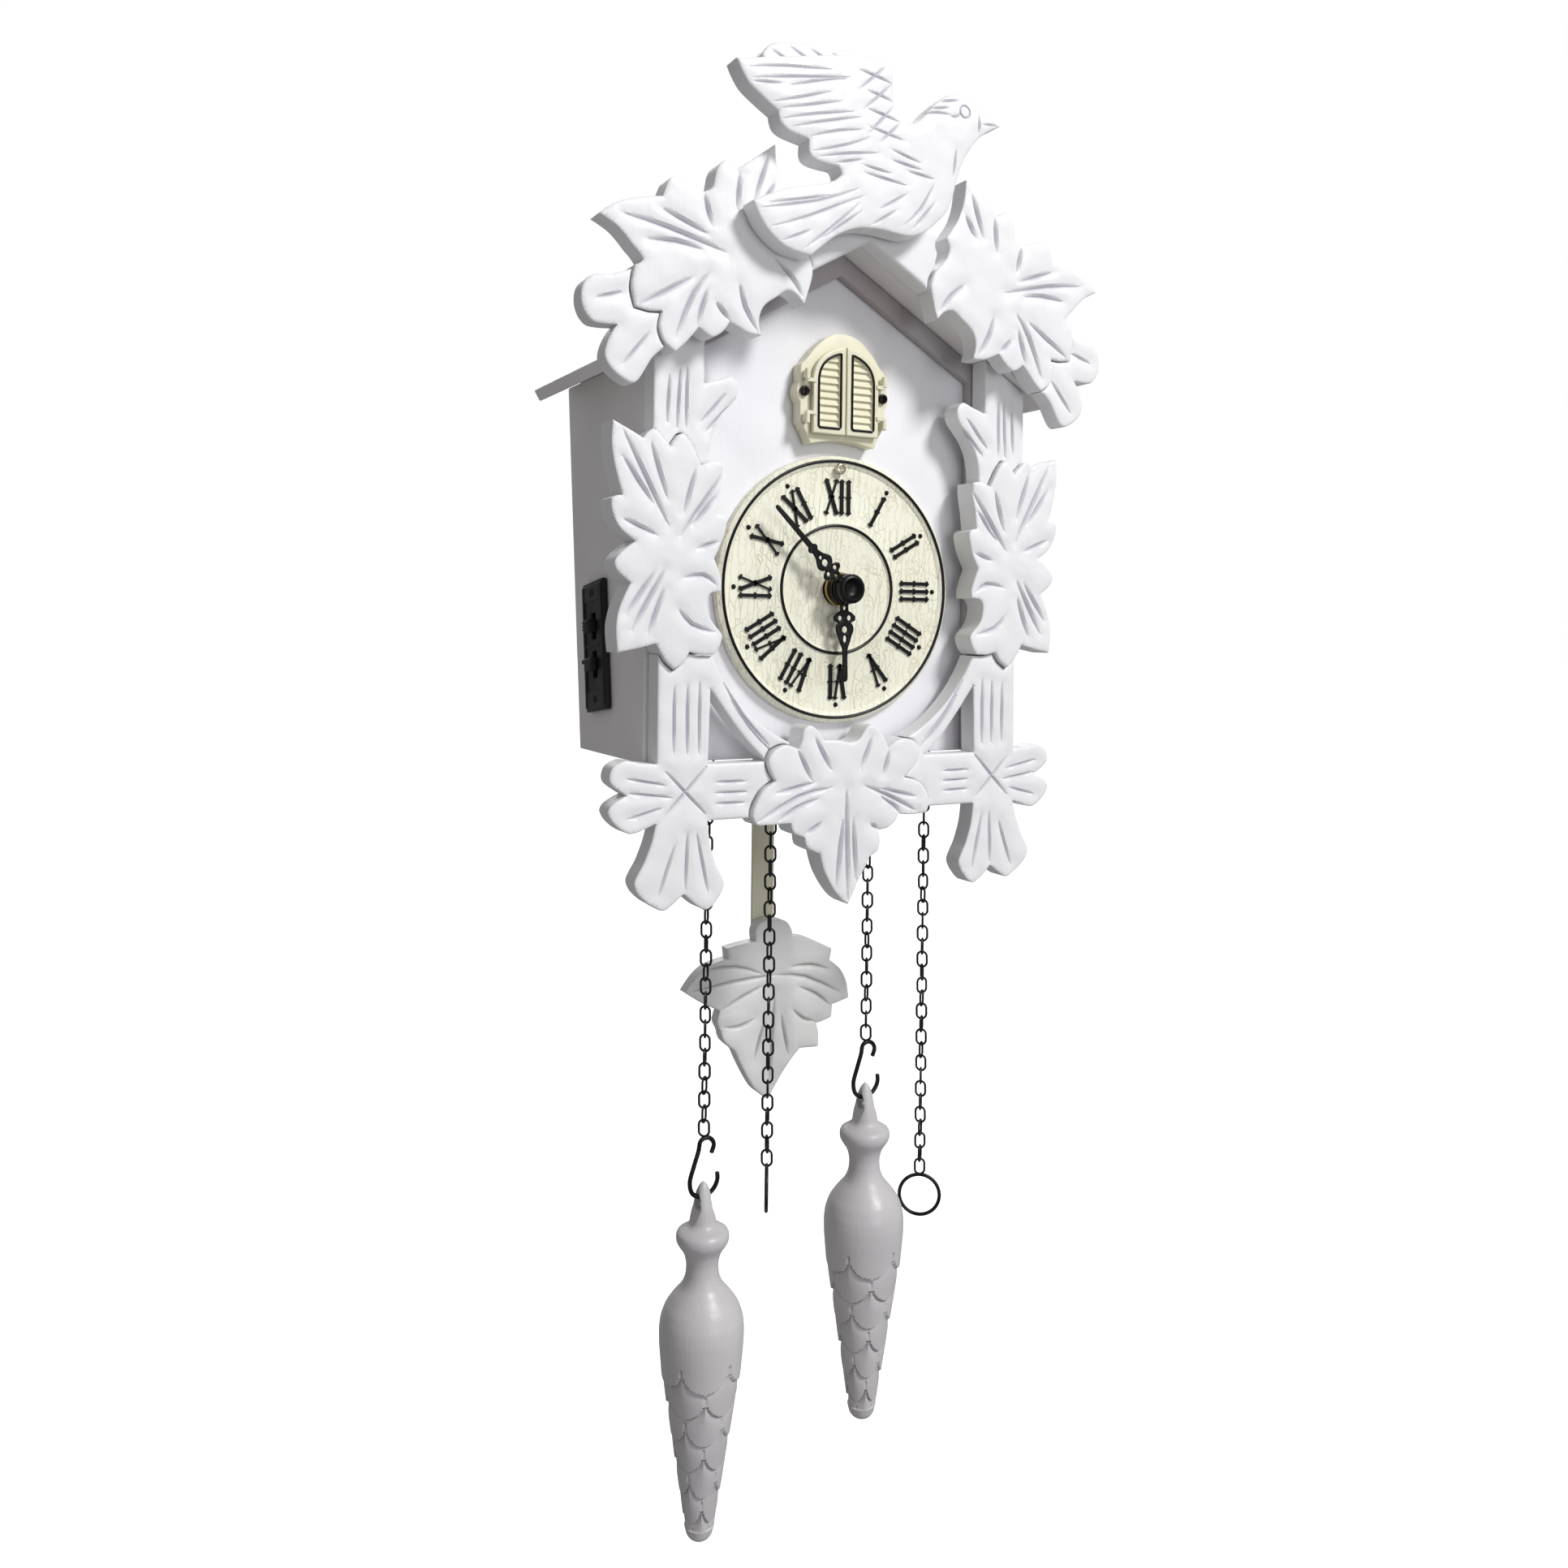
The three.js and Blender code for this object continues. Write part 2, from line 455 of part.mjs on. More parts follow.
const CELL_R = 7.1;
const CELL_X = 40.2;
const CELL_YS = [19.6, 34.1];
const CELL_LOW = -36;
const CELL_HIGH = 14.4;
const TRAY_IN = CELL_X + CELL_R + GAP;
add('battery_tray', join(
  box(TRAY_IN, TRAY_IN + 1.8, 12.4, 41.2, CELL_LOW - 2.6, CELL_HIGH + 2.6),
  box(CELL_X - CELL_R, TRAY_IN + 1, 12.4, 41.2, CELL_LOW - 2.6, CELL_LOW - 0.6),
  box(CELL_X - CELL_R, TRAY_IN + 1, 12.4, 41.2, CELL_HIGH + 0.6, CELL_HIGH + 2.6),
), BLACK());
CELL_YS.forEach((y, i) => {
  add(`battery_${'ab'[i]}`, rod('z', CELL_R, CELL_LOW, CELL_HIGH, [CELL_X, y]), GREEN());
});

add('speaker', join(
  rod('x', 16, -51, -48.5, [28, 32], 32),
  rod('x', 8, -48.6, -43, [28, 32], 24),
), BLACK());
const PCB_X = -49.2;
add('circuit_board', box(PCB_X, PCB_X + 1.6, 14, 41, -36, 4), GREEN());

const PLATE_BACK = -CASE_HALF - GAP;
const PLATE_FRONT = PLATE_BACK - 1.4;
const KNOB_OFFSETS = [5.4, -5];
const KNOB_STROKE = 2;
add('switch_plate', onSwitchPlate(cut(
  box(PLATE_FRONT, PLATE_BACK, -SWITCH_WIDE / 2, SWITCH_WIDE / 2, -SWITCH_LONG / 2, SWITCH_LONG / 2),
  ...KNOB_OFFSETS.map((z) => box(PLATE_FRONT - 1, PLATE_BACK + 1, -1.6, 1.6, z - 3.6, z + 3.6)),
)), BLACK());
['upper', 'lower'].forEach((name, i) => {
  const z = KNOB_OFFSETS[i];
  add(`switch_${name}`, onSwitchPlate(join(
    box(PLATE_FRONT - 2.2, PLATE_FRONT - GAP, -2.4, 2.4, z - 1.7, z + 1.7),
    box(PLATE_FRONT - 1, PCB_X - GAP, -1.1, 1.1, z - 3.4 + KNOB_STROKE, z + 3.4 - KNOB_STROKE),
  )), BLACK());
});

// ---- cuckoo door --------------------------------------------------------------------
const MODULE_FRONT = -1.5;
const MODULE_RIGHT = [
  [0, 68.4, 1], [2.6, 68.1], [5.5, 66.8], [9.1, 63.6], [11.4, 60.6], [12.9, 59.3, 1],
  [13.1, 58.3, 1], [13.1, 54.9, 1], [13.9, 53.7], [14.2, 52.1], [13.9, 50.5], [13.1, 49.3, 1],
  [13.1, 44.1, 1], [11.4, 41.7], [9.9, 38.5, 1], [5, 39.5], [0, 39.9, 1],
];
const moduleOutline = [
  ...MODULE_RIGHT, ...mirror(MODULE_RIGHT).reverse().slice(1, -1),
];
// Corners of the mirrored half close runs at the same places as the right half.
const doorway = () => plate(archOutline(DOOR_OPEN_HALF, DOOR_SILL, DOOR_SPRING, 6.2), -5, 40);
const SHELF_TOP = DOOR_SILL + 0.6;
add('door_module', join(
  cut(
    join(
      plate(carved(moduleOutline), MODULE_FRONT, DIAL_BACK - MODULE_FRONT),
      plate(archOutline(SLEEVE_HALF, DOOR_SILL - 1.2, DOOR_SPRING, 7.4), 0, 8),
      box(-8, 8, 6, 36, DOOR_SILL - 1.2, SHELF_TOP),
      ...[-1, 1].flatMap((side) => [44.9, 56.4].map((z) => (
        box(side * 11.95 - 0.65, side * 11.95 + 0.65, -3.4, 0, z - 0.9, z + 0.9)))),
    ),
    doorway(),
  ),
  box(-8, 8, 1, 36, DOOR_SILL - 0.6, SHELF_TOP),
), IVORY());

const DOOR_Y = MODULE_FRONT - GAP - 1.5;
const DOOR_LOW = 41.1;
const DOOR_HINGE_X = 10.1;
function door(side) {
  const shape = new THREE.Shape();
  shape.moveTo(side * 0.2, DOOR_LOW);
  shape.lineTo(side * DOOR_HINGE_X, DOOR_LOW);
  shape.lineTo(side * DOOR_HINGE_X, 55.5);
  shape.quadraticCurveTo(side * 9.6, 63, side * 0.2, 64.6);
  shape.closePath();
  return plate(shape, DOOR_Y, 1.5);
}
add('door_left', door(-1), IVORY());
add('door_right', door(1), IVORY());
[-1, 1].forEach((side) => {
  add(`module_screw_${side < 0 ? 'left' : 'right'}`,
    rod('y', 1.35, MODULE_FRONT - GAP - 0.9, MODULE_FRONT - GAP, [side * 12.2, 52.1], 16), STEEL());
});

const CUCKOO_Z = 50.5;
const head = new THREE.SphereGeometry(3.1, 14, 10).translate(0, 10.6, CUCKOO_Z + 4.4);
const trunk = new THREE.SphereGeometry(1, 16, 12).scale(4.1, 7.4, 4.4).translate(0, 15.6, CUCKOO_Z);
const beak = new THREE.ConeGeometry(1, 3, 8).rotateX(Math.PI).translate(0, 6.6, CUCKOO_Z + 4.2);
add('cuckoo', join(
  trunk, head, beak,
  box(-1.2, 1.2, 13, 18, SHELF_TOP + 1, CUCKOO_Z),
  box(-4, 4, 9, 30, SHELF_TOP + GAP, SHELF_TOP + 1.8),
), material(0x8a5a33, 0.6));

// ---- chains, hooks, rings and weights -------------------------------------------------
const WHEEL_X = (CHAIN_INNER_X + CHAIN_OUTER_X) / 2;
const WHEEL_R = 7.2;
add('chain_carrier', join(
  box(-31, 31, CHAIN_Y + CHAIN_R + 0.8, CHAIN_Y + CHAIN_R + 2.6, FLOOR_TOP + GAP, -20),
  ...[-1, 1].map((side) => rod('y', 1.5, 6, CHAIN_Y + CHAIN_R + 1.2, [side * WHEEL_X, WHEEL_Z], 16)),
), BLACK());

function chainWheel(side) {
  const teeth = 6;
  const shape = new THREE.Shape();
  const steps = teeth * 4;
  for (let i = 0; i < steps; i += 1) {
    const angle = (i / steps) * 2 * Math.PI;
    const radius = WHEEL_R - 0.5 + 0.5 * Math.cos(angle * teeth);
    const point = [radius * Math.cos(angle), radius * Math.sin(angle)];
    i === 0 ? shape.moveTo(...point) : shape.lineTo(...point);
  }
  const disc = plate(shape, 6.2, 3.4).translate(side * WHEEL_X, 0, WHEEL_Z);
  return cut(disc, rod('y', 1.8, 5, 12, [side * WHEEL_X, WHEEL_Z], 16));
}
add('chain_wheel_left', chainWheel(-1), IVORY());
add('chain_wheel_right', chainWheel(1), IVORY());

const HOOK_WIRE = 0.65;
const RING_R = 5.75;
const RING_WIRE = 0.55;
const WEIGHT_LONG = 94;
const EYE_DROP = 5.2;         // weight top to the middle of its eye
const EYE_R = 2.4;
const EYE_HALF = 1.5;         // half thickness of the flattened eye
const EYE_SLACK = 0.75;       // play of the hook in the eye

// S-hook in its X-Z plane, from the tip of the closed loop to the open end.
const HOOK_CURVE = [
  [2.2, -5], [3, -2.6], [1.4, -0.7], [-0.9, -1.2], [-1.4, -3.6], [-2.8, -7.8], [-3.9, -11.8],
  [-3, -14.9], [-0.2, -16], [2.6, -14.9], [4.1, -12.4], [4, -10.2],
];
const HOOK_BOTTOM = 16;

function sHook(x, top) {
  const points = HOOK_CURVE.map(([dx, dz]) => new THREE.Vector3(x + dx, CHAIN_Y, top + dz));
  const section = new THREE.Shape();
  for (let i = 0; i < 8; i += 1) {
    const angle = (i / 8) * 2 * Math.PI;
    const point = [HOOK_WIRE * Math.cos(angle), HOOK_WIRE * Math.sin(angle)];
    i === 0 ? section.moveTo(...point) : section.lineTo(...point);
  }
  const settings = { steps: 36, extrudePath: new THREE.CatmullRomCurve3(points) };
  return new THREE.ExtrudeGeometry(section, settings);
}

function ring(x, centreZ, turn) {
  const circle = [];
  for (let i = 0; i <= 8; i += 1) {
    const angle = (i / 8) * 2 * Math.PI;
    circle.push(new THREE.Vector2(RING_R + RING_WIRE * Math.cos(angle), RING_WIRE * Math.sin(angle)));
  }
  circle[8] = circle[0].clone();
  const geometry = new THREE.LatheGeometry(circle, 32);
  return geometry.rotateZ(THREE.MathUtils.degToRad(turn)).translate(x, CHAIN_Y, centreZ);
}

const WEIGHT_PROFILE = [
  [0, 0], [1.5, -0.6], [2.6, -3], [3.3, -7], [3.5, -11], [4.4, -12.2], [6.4, -12.8],
  [7.1, -14.6], [6.5, -16.4], [4.9, -18.4], [4.2, -21.5], [4.5, -24.5], [6.8, -28.5],
  [9.8, -32], [11.2, -36], [11.1, -41], [10.4, -50], [3.9, -90.5], [2.9, -93], [0, -WEIGHT_LONG],
];

function weight(x, top) {
  const profile = WEIGHT_PROFILE.map(([r, z]) => new THREE.Vector2(r, z)).reverse();
  const body = new THREE.LatheGeometry(profile, 24).rotateX(Math.PI / 2);
  const flats = [-1, 1].map((side) => (
    box(side * (EYE_HALF + 2) - 2, side * (EYE_HALF + 2) + 2, -6, 6, -11.6, 2)));
  const eye = rod('x', EYE_R, -5, 5, [0, -EYE_DROP], 20);
  return cut(body, ...flats, eye).translate(x, CHAIN_Y, top);
}

// side, weight fall x, ring fall x, hook top, ring centre, ring turn about Z
const RUNS = [
  ['left', -CHAIN_OUTER_X, -CHAIN_INNER_X, -144, -161.4, 61.8],
  ['right', CHAIN_INNER_X, CHAIN_OUTER_X, -125.8, -172.9, -34.8],
];
RUNS.forEach(([side, weightX, ringX, hookTop, ringZ, turn]) => {
  add(`chain_${side}_weight_fall`, rod('z', CHAIN_R, hookTop + 0.5, CHAIN_TOP, [weightX, CHAIN_Y], 8), STEEL());
  add(`chain_${side}_ring_fall`,
    rod('z', CHAIN_R, ringZ + RING_R + RING_WIRE + GAP, CHAIN_TOP, [ringX, CHAIN_Y], 8), STEEL());
  add(`hook_${side}`, sHook(weightX, hookTop), STEEL());
  add(`ring_${side}`, ring(ringX, ringZ, turn), STEEL());
  const eyeMiddle = hookTop - HOOK_BOTTOM - EYE_R + HOOK_WIRE + EYE_SLACK;
  add(`weight_${side}`, weight(weightX, eyeMiddle + EYE_DROP), SHADED());
});

// ---- pendulum -----------------------------------------------------------------------
const BOB = [
  [-4.6, -102.4, 1], [-4.8, -99.4], [-3, -97], [1.2, -96.4], [5.6, -97.6], [7.4, -100.4],
  [7.6, -102, 1], [13, -103.2], [21.2, -107.2, 1], [20.6, -110.6, 1], [24.2, -113.6],
  [26.6, -118], [27.4, -122.8, 1], [21.8, -124.2, 1], [21.4, -127.9, 1], [16.3, -129.2, 1],
  [17, -132.6], [16.8, -136.2, 1], [10.6, -135.8, 1], [5.4, -141.4], [0, -149.4, 1],
  [-4.4, -145.8], [-8.2, -139.6], [-11.2, -133.6, 1], [-14.6, -130.4], [-15.6, -127.4, 1],
  [-16.8, -124.6], [-15.9, -121.4, 1], [-22, -118.2], [-27, -114.8, 1], [-23.8, -110.8],
  [-19.6, -107.9], [-13.4, -106.6, 1], [-13.8, -103.6, 1], [-9.2, -102.8],
];
const ROD_HALF = 3.5;
const ROD_END = -124;
const ROD_THICK = 1.2;
add('pendulum_rod', cut(
  box(-ROD_HALF, ROD_HALF, ROD_Y, ROD_Y + ROD_THICK, ROD_END, PENDULUM_Z + 5),
  rod('y', 1.3, ROD_Y - 1, ROD_Y + 3, [0, PENDULUM_Z], 16),
), IVORY());
add('pendulum_bob', leafPlate(BOB, ROD_Y - GAP - 4.9, ROD_Y - GAP), SHADED());

export default root;
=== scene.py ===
import contextlib
import json
import math
import random

import bmesh
import bpy
import numpy as np
from mathutils import Matrix, Vector
from mathutils.geometry import delaunay_2d_cdt

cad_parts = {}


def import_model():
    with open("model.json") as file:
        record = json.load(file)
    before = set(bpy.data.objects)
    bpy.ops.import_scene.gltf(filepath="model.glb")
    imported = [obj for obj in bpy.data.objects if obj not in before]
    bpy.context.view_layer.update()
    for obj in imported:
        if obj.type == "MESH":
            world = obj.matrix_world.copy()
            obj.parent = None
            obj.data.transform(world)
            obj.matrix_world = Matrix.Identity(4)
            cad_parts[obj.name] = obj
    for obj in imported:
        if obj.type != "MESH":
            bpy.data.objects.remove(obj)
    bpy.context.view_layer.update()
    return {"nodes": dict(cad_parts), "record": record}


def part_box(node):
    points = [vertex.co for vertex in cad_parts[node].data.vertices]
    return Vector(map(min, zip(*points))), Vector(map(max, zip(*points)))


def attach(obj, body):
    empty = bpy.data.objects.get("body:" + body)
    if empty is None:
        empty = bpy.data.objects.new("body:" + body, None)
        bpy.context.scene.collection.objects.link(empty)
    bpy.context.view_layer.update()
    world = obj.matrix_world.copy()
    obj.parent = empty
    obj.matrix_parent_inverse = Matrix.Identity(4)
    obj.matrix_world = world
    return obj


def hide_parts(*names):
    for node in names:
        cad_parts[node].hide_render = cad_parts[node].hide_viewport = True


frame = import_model()

MM = 0.001
RECORD = frame["record"]
BODY = {n: b for b, nodes in RECORD["behaviour"]["bodies"].items() for n in nodes}
JOINT = {j["name"]: j for j in RECORD["behaviour"]["joints"]}


def corners(node):
    lo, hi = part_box(node)
    return Vector(lo), Vector(hi)


# Lengths below are millimetres from the dial's centre, on the plane of the case front.
dial_lo, dial_hi = corners("dial")
ORIGIN = Vector((
    (dial_lo.x + dial_hi.x) / 2,
    corners("spacer_strip")[0].y,
    (dial_lo.z + dial_hi.z) / 2,
))


def world(point):
    return ORIGIN + Vector(point) * MM


def local(point):
    return (Vector(point) - ORIGIN) / MM


def linked(name, data):
    """A new object that holds this data, in the scene."""
    thing = bpy.data.objects.new(name, data)
    bpy.context.collection.objects.link(thing)
    return thing


# ---- camera, light and stage ----
CAMERA_AT = (-181.8, -304.1, -9.8)
YAW, PITCH, ROLL = (math.radians(a) for a in (28.54, 0.09, -0.69))
forward = Vector((math.sin(YAW) * math.cos(PITCH), math.cos(YAW) * math.cos(PITCH), -math.sin(PITCH)))
right = Vector((math.cos(YAW), -math.sin(YAW), 0))
up = right.cross(forward)
right_rolled = right * math.cos(ROLL) - up * math.sin(ROLL)
up_rolled = up * math.cos(ROLL) + right * math.sin(ROLL)
camera_data = bpy.data.cameras.new("camera")
camera_data.sensor_width = 36
camera_data.lens = 30.15
camera_data.shift_y = -0.100
camera_data.clip_start = 0.01
camera = linked("camera", camera_data)
turn = Matrix((right_rolled, up_rolled, -forward)).transposed().to_4x4()
camera.matrix_world = Matrix.Translation(world(CAMERA_AT)) @ turn
bpy.context.scene.camera = camera
bpy.context.scene.view_settings.view_transform = "Standard"


def area_light(name, place, energy, size, colour=(1, 1, 1)):
    data = bpy.data.lights.new(name, "AREA")
    data.energy = energy
    data.size = size
    data.color = colour
    lamp = linked(name, data)
    lamp.location = place
    aim = world((0, 20, -40)) - Vector(place)
    lamp.rotation_euler = aim.to_track_quat("-Z", "Y").to_euler()


area_light("key", (0.42, -0.95, 0.74), 12.4, 0.28)
area_light("fill", (0.15, -1.2, 0.0), 2.6, 0.5, (0.96, 0.97, 1))
area_light("back", (0.35, 1.0, 0.5), 6.5, 0.8)
SKY_LIGHT, SKY_SEEN = 0.27, 1.0   # what the sky sheds on the clock, and how bright it looks behind it
sky = bpy.data.worlds.new("sky")
sky.use_nodes = True
background = sky.node_tree.nodes["Background"]
background.inputs["Color"].default_value = (1, 1, 1, 1)
path_node = sky.node_tree.nodes.new("ShaderNodeLightPath")
strength = sky.node_tree.nodes.new("ShaderNodeMapRange")
strength.inputs["To Min"].default_value = SKY_LIGHT
strength.inputs["To Max"].default_value = SKY_SEEN
sky.node_tree.links.new(path_node.outputs["Is Camera Ray"], strength.inputs["Value"])
sky.node_tree.links.new(strength.outputs[0], background.inputs["Strength"])
bpy.context.scene.world = sky


# ---- materials ----
class Nodes:
    """A material's node tree, with the few calls that the materials below share."""

    def __init__(self, name, colour, rough, metal=0.0, coat=0.0):
        self.material = bpy.data.materials.new(name)
        self.material.use_nodes = True
        self.tree = self.material.node_tree
        self.shader = self.tree.nodes["Principled BSDF"]
        self.shader.inputs["Base Color"].default_value = (*colour, 1)
        self.shader.inputs["Roughness"].default_value = rough
        self.shader.inputs["Metallic"].default_value = metal
        self.shader.inputs["Coat Weight"].default_value = coat
        self.place = self.tree.nodes.new("ShaderNodeTexCoord").outputs["Object"]

    def link(self, a, b):
        self.tree.links.new(a, b)

    def stretched(self, scale):
        node = self.tree.nodes.new("ShaderNodeMapping")
        node.inputs["Scale"].default_value = scale
        self.link(self.place, node.inputs["Vector"])
        return node.outputs[0]

    def noise(self, scale, stretch=(1, 1, 1), detail=4.0):
        node = self.tree.nodes.new("ShaderNodeTexNoise")
        node.inputs["Scale"].default_value = scale
        node.inputs["Detail"].default_value = detail
        node.inputs["Roughness"].default_value = 0.55
        self.link(self.stretched(stretch), node.inputs["Vector"])
        return node.outputs["Fac"]

    def ramp(self, value, low, high, to_low=0.0, to_high=1.0):
        node = self.tree.nodes.new("ShaderNodeMapRange")
        for key, number in zip(("From Min", "From Max", "To Min", "To Max"), (low, high, to_low, to_high)):
            node.inputs[key].default_value = number
        self.link(value, node.inputs["Value"])
        return node.outputs[0]

    def mix(self, fac, a, b):
        node = self.tree.nodes.new("ShaderNodeMix")
        node.data_type = "RGBA"
        self.link(fac, node.inputs[0])
        for socket, colour in ((node.inputs[6], a), (node.inputs[7], b)):
            if isinstance(colour, tuple):
                socket.default_value = (*colour, 1)
            else:
                self.link(colour, socket)
        return node.outputs[2]

    def product(self, a, b):
        node = self.tree.nodes.new("ShaderNodeMath")
        node.operation = "MULTIPLY"
        self.link(a, node.inputs[0])
        self.link(b, node.inputs[1])
        return node.outputs[0]

    def attribute(self, name):
        node = self.tree.nodes.new("ShaderNodeAttribute")
        node.attribute_name = name
        return node.outputs["Fac"]

    def bump(self, height, distance, strength=1.0, after=None):
        node = self.tree.nodes.new("ShaderNodeBump")
        node.inputs["Distance"].default_value = distance
        node.inputs["Strength"].default_value = strength
        self.link(height, node.inputs["Height"])
        if after is not None:
            self.link(after, node.inputs["Normal"])
        return node.outputs[0]

    def finish(self, colour=None, rough=None, normal=None):
        for value, key in ((colour, "Base Color"), (rough, "Roughness"), (normal, "Normal")):
            if value is not None:
                self.link(value, self.shader.inputs[key])
        return self.material


BARE_WOOD = (0.42, 0.30, 0.17)
CRACK_DIRT = (0.55, 0.51, 0.36)


# carved is the colour of painted shade laid into grooves and cuts; None leaves a piece without it.
def painted_wood(name, light, dark, carved, rough=0.42):
    n = Nodes(name, light, rough)
    n.shader.inputs["Specular IOR Level"].default_value = 0.42
    grain = n.noise(900, (1, 1, 0.06), 5)
    cloud = n.noise(28, detail=3)
    mottle = n.noise(160, detail=5)
    colour = n.mix(n.ramp(cloud, 0.3, 0.7), light, dark)
    colour = n.mix(n.ramp(grain, 0.5, 0.78, 0, 0.22), colour, dark)
    if carved:
        # Painted shade: the colour goes towards the carved colour in grooves and cuts, by their mask
        # attribute.
        colour = n.mix(n.ramp(n.attribute("cut_shade"), 0.1, 1, 0, 0.75), colour, carved)
        worn = n.product(n.attribute("seam"), n.ramp(mottle, 0.6, 0.68))
        colour = n.mix(worn, colour, BARE_WOOD)
    first = n.bump(grain, 0.00012, 0.5)
    second = n.bump(mottle, 0.00025, 0.35, first)
    return n.finish(colour, n.ramp(mottle, 0.3, 0.7, rough - 0.07, rough + 0.1), second)


def plastic(name, light, dark, rough, crackle=0.0, coat=0.0, specular=0.5):
    n = Nodes(name, light, rough, coat=coat)
    n.shader.inputs["Specular IOR Level"].default_value = specular
    cloud = n.noise(60, detail=4)
    fine = n.noise(2600, detail=3)
    colour = n.mix(n.ramp(cloud, 0.35, 0.7), light, dark)
    normal = n.bump(fine, 0.00004, 0.5)
    if crackle:
        cells = n.tree.nodes.new("ShaderNodeTexVoronoi")
        cells.feature = "DISTANCE_TO_EDGE"
        cells.inputs["Scale"].default_value = 560
        wobble = n.tree.nodes.new("ShaderNodeVectorMath")
        wobble.operation = "MULTIPLY_ADD"
        wobble.inputs[1].default_value = (0.004, 0.004, 0.004)
        n.link(n.noise(240, detail=2), wobble.inputs[0])
        n.link(n.stretched((1, 1, 0.16)), wobble.inputs[2])
        n.link(wobble.outputs[0], cells.inputs["Vector"])
        crack = n.ramp(cells.outputs["Distance"], 0.0, 0.07, 1, 0)
        patch = n.ramp(n.noise(120, detail=3), 0.3, 0.55, 0.25, 1)
        both = n.product(crack, patch)
        colour = n.mix(n.ramp(both, 0, 1, 0, crackle), colour, CRACK_DIRT)
        normal = n.bump(n.ramp(both, 0, 1, 1, 0), 0.00015, 0.7, normal)
    return n.finish(colour, n.ramp(cloud, 0.3, 0.7, rough - 0.05, rough + 0.08), normal)


def metal(name, light, dark, rough, metallic=1.0):
    n = Nodes(name, light, rough, metallic)
    cloud = n.noise(300, detail=5)
    colour = n.mix(n.ramp(cloud, 0.4, 0.7), light, dark)
    return n.finish(colour, n.ramp(cloud, 0.3, 0.7, rough - 0.08, rough + 0.14), n.bump(cloud, 0.00005, 0.5))


# The last colour of WHITE, WEIGHT_PAINT and BOB_PAINT is painted shade for grooves and for under scale edges.
WHITE = painted_wood("white_paint", (0.85, 0.85, 0.865), (0.81, 0.81, 0.83), (0.40, 0.38, 0.46))
FLAT_WHITE = painted_wood("white_board", (0.86, 0.855, 0.875), (0.80, 0.785, 0.83), None)
# Painted shade: a greyer, warmer copy of the white paint, for the case boards.
SHADED_CASE_WHITE = painted_wood("case_paint_shaded", (0.84, 0.81, 0.81), (0.77, 0.74, 0.745), None, 0.5)
# Thinly painted wood, made much darker with painted shade, for the strip between frame and board, which lies
# in shade.
SHADED_STRIP_WOOD = painted_wood("thin_paint_and_shade_strip", (0.45, 0.435, 0.46), (0.36, 0.31, 0.30), None, 0.6)
WEIGHT_PAINT = painted_wood("weight_paint", (0.60, 0.58, 0.59), (0.53, 0.51, 0.525), (0.20, 0.19, 0.20), 0.36)
BOB_PAINT = painted_wood("bob_paint", (0.76, 0.76, 0.75), (0.68, 0.68, 0.67), (0.26, 0.26, 0.255), 0.40)
IVORY = plastic("ivory_plastic", (0.80, 0.78, 0.60), (0.74, 0.71, 0.52), 0.38, coat=0.1)
DIAL_IVORY = plastic("dial_ivory", (0.90, 0.885, 0.74), (0.87, 0.85, 0.69), 0.45, crackle=0.5)
BLACK = plastic("black_plastic", (0.003, 0.003, 0.003), (0.006, 0.006, 0.007), 0.36, specular=0.22)
MATT_BLACK = plastic("matt_black_plastic", (0.010, 0.011, 0.012), (0.018, 0.019, 0.020), 0.5, specular=0.35)
STEEL = metal("black_steel", (0.012, 0.011, 0.010), (0.04, 0.037, 0.034), 0.36, 0.7)
BRASS = metal("brass", (0.70, 0.53, 0.22), (0.45, 0.33, 0.13), 0.26)
PALE_BRASS = metal("pale_brass", (0.78, 0.74, 0.62), (0.62, 0.58, 0.46), 0.2)
GREEN = plastic("circuit_green", (0.03, 0.16, 0.06), (0.02, 0.11, 0.05), 0.4)
CELL = metal("cell_wrap", (0.05, 0.19, 0.11), (0.04, 0.14, 0.08), 0.35, 0.4)
BROWN = plastic("cuckoo_brown", (0.25, 0.12, 0.05), (0.16, 0.08, 0.035), 0.55)
YELLOW = plastic("beak_yellow", (0.75, 0.45, 0.06), (0.66, 0.38, 0.05), 0.45)
FLOOR = painted_wood("floor_pale", (0.93, 0.93, 0.93), (0.91, 0.91, 0.92), None, 0.8)


# ---- making pieces ----
def place(piece, nodes, replace=True):
    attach(piece, BODY[nodes[0]])
    if replace:
        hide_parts(*nodes)
    return piece


@contextlib.contextmanager
def editing(mesh):
    """The mesh as a bmesh, written back afterwards."""
    edit = bmesh.new()
    edit.from_mesh(mesh)
    yield edit
    edit.to_mesh(mesh)
    edit.free()


def shade(mesh, material, angle):
    mesh.materials.append(material)
    mesh.polygons.foreach_set("use_smooth", [True] * len(mesh.polygons))
    mesh.set_sharp_from_angle(angle=math.radians(angle))


def make(name, verts, faces, material, nodes, replace=True, angle=38, attributes=None):
    """A piece from points in local millimetres. attributes holds one number a point, by name."""
    mesh = bpy.data.meshes.new(name)
    mesh.from_pydata([world(v) for v in verts], [], [tuple(map(int, f)) for f in faces])
    for key, values in (attributes or {}).items():
        layer = mesh.attributes.new(key, "FLOAT", "POINT")
        layer.data.foreach_set("value", np.asarray(values, dtype=np.float32))
    with editing(mesh) as edit:
        bmesh.ops.recalc_face_normals(edit, faces=edit.faces)
    shade(mesh, material, angle)
    return place(linked(name, mesh), nodes, replace)


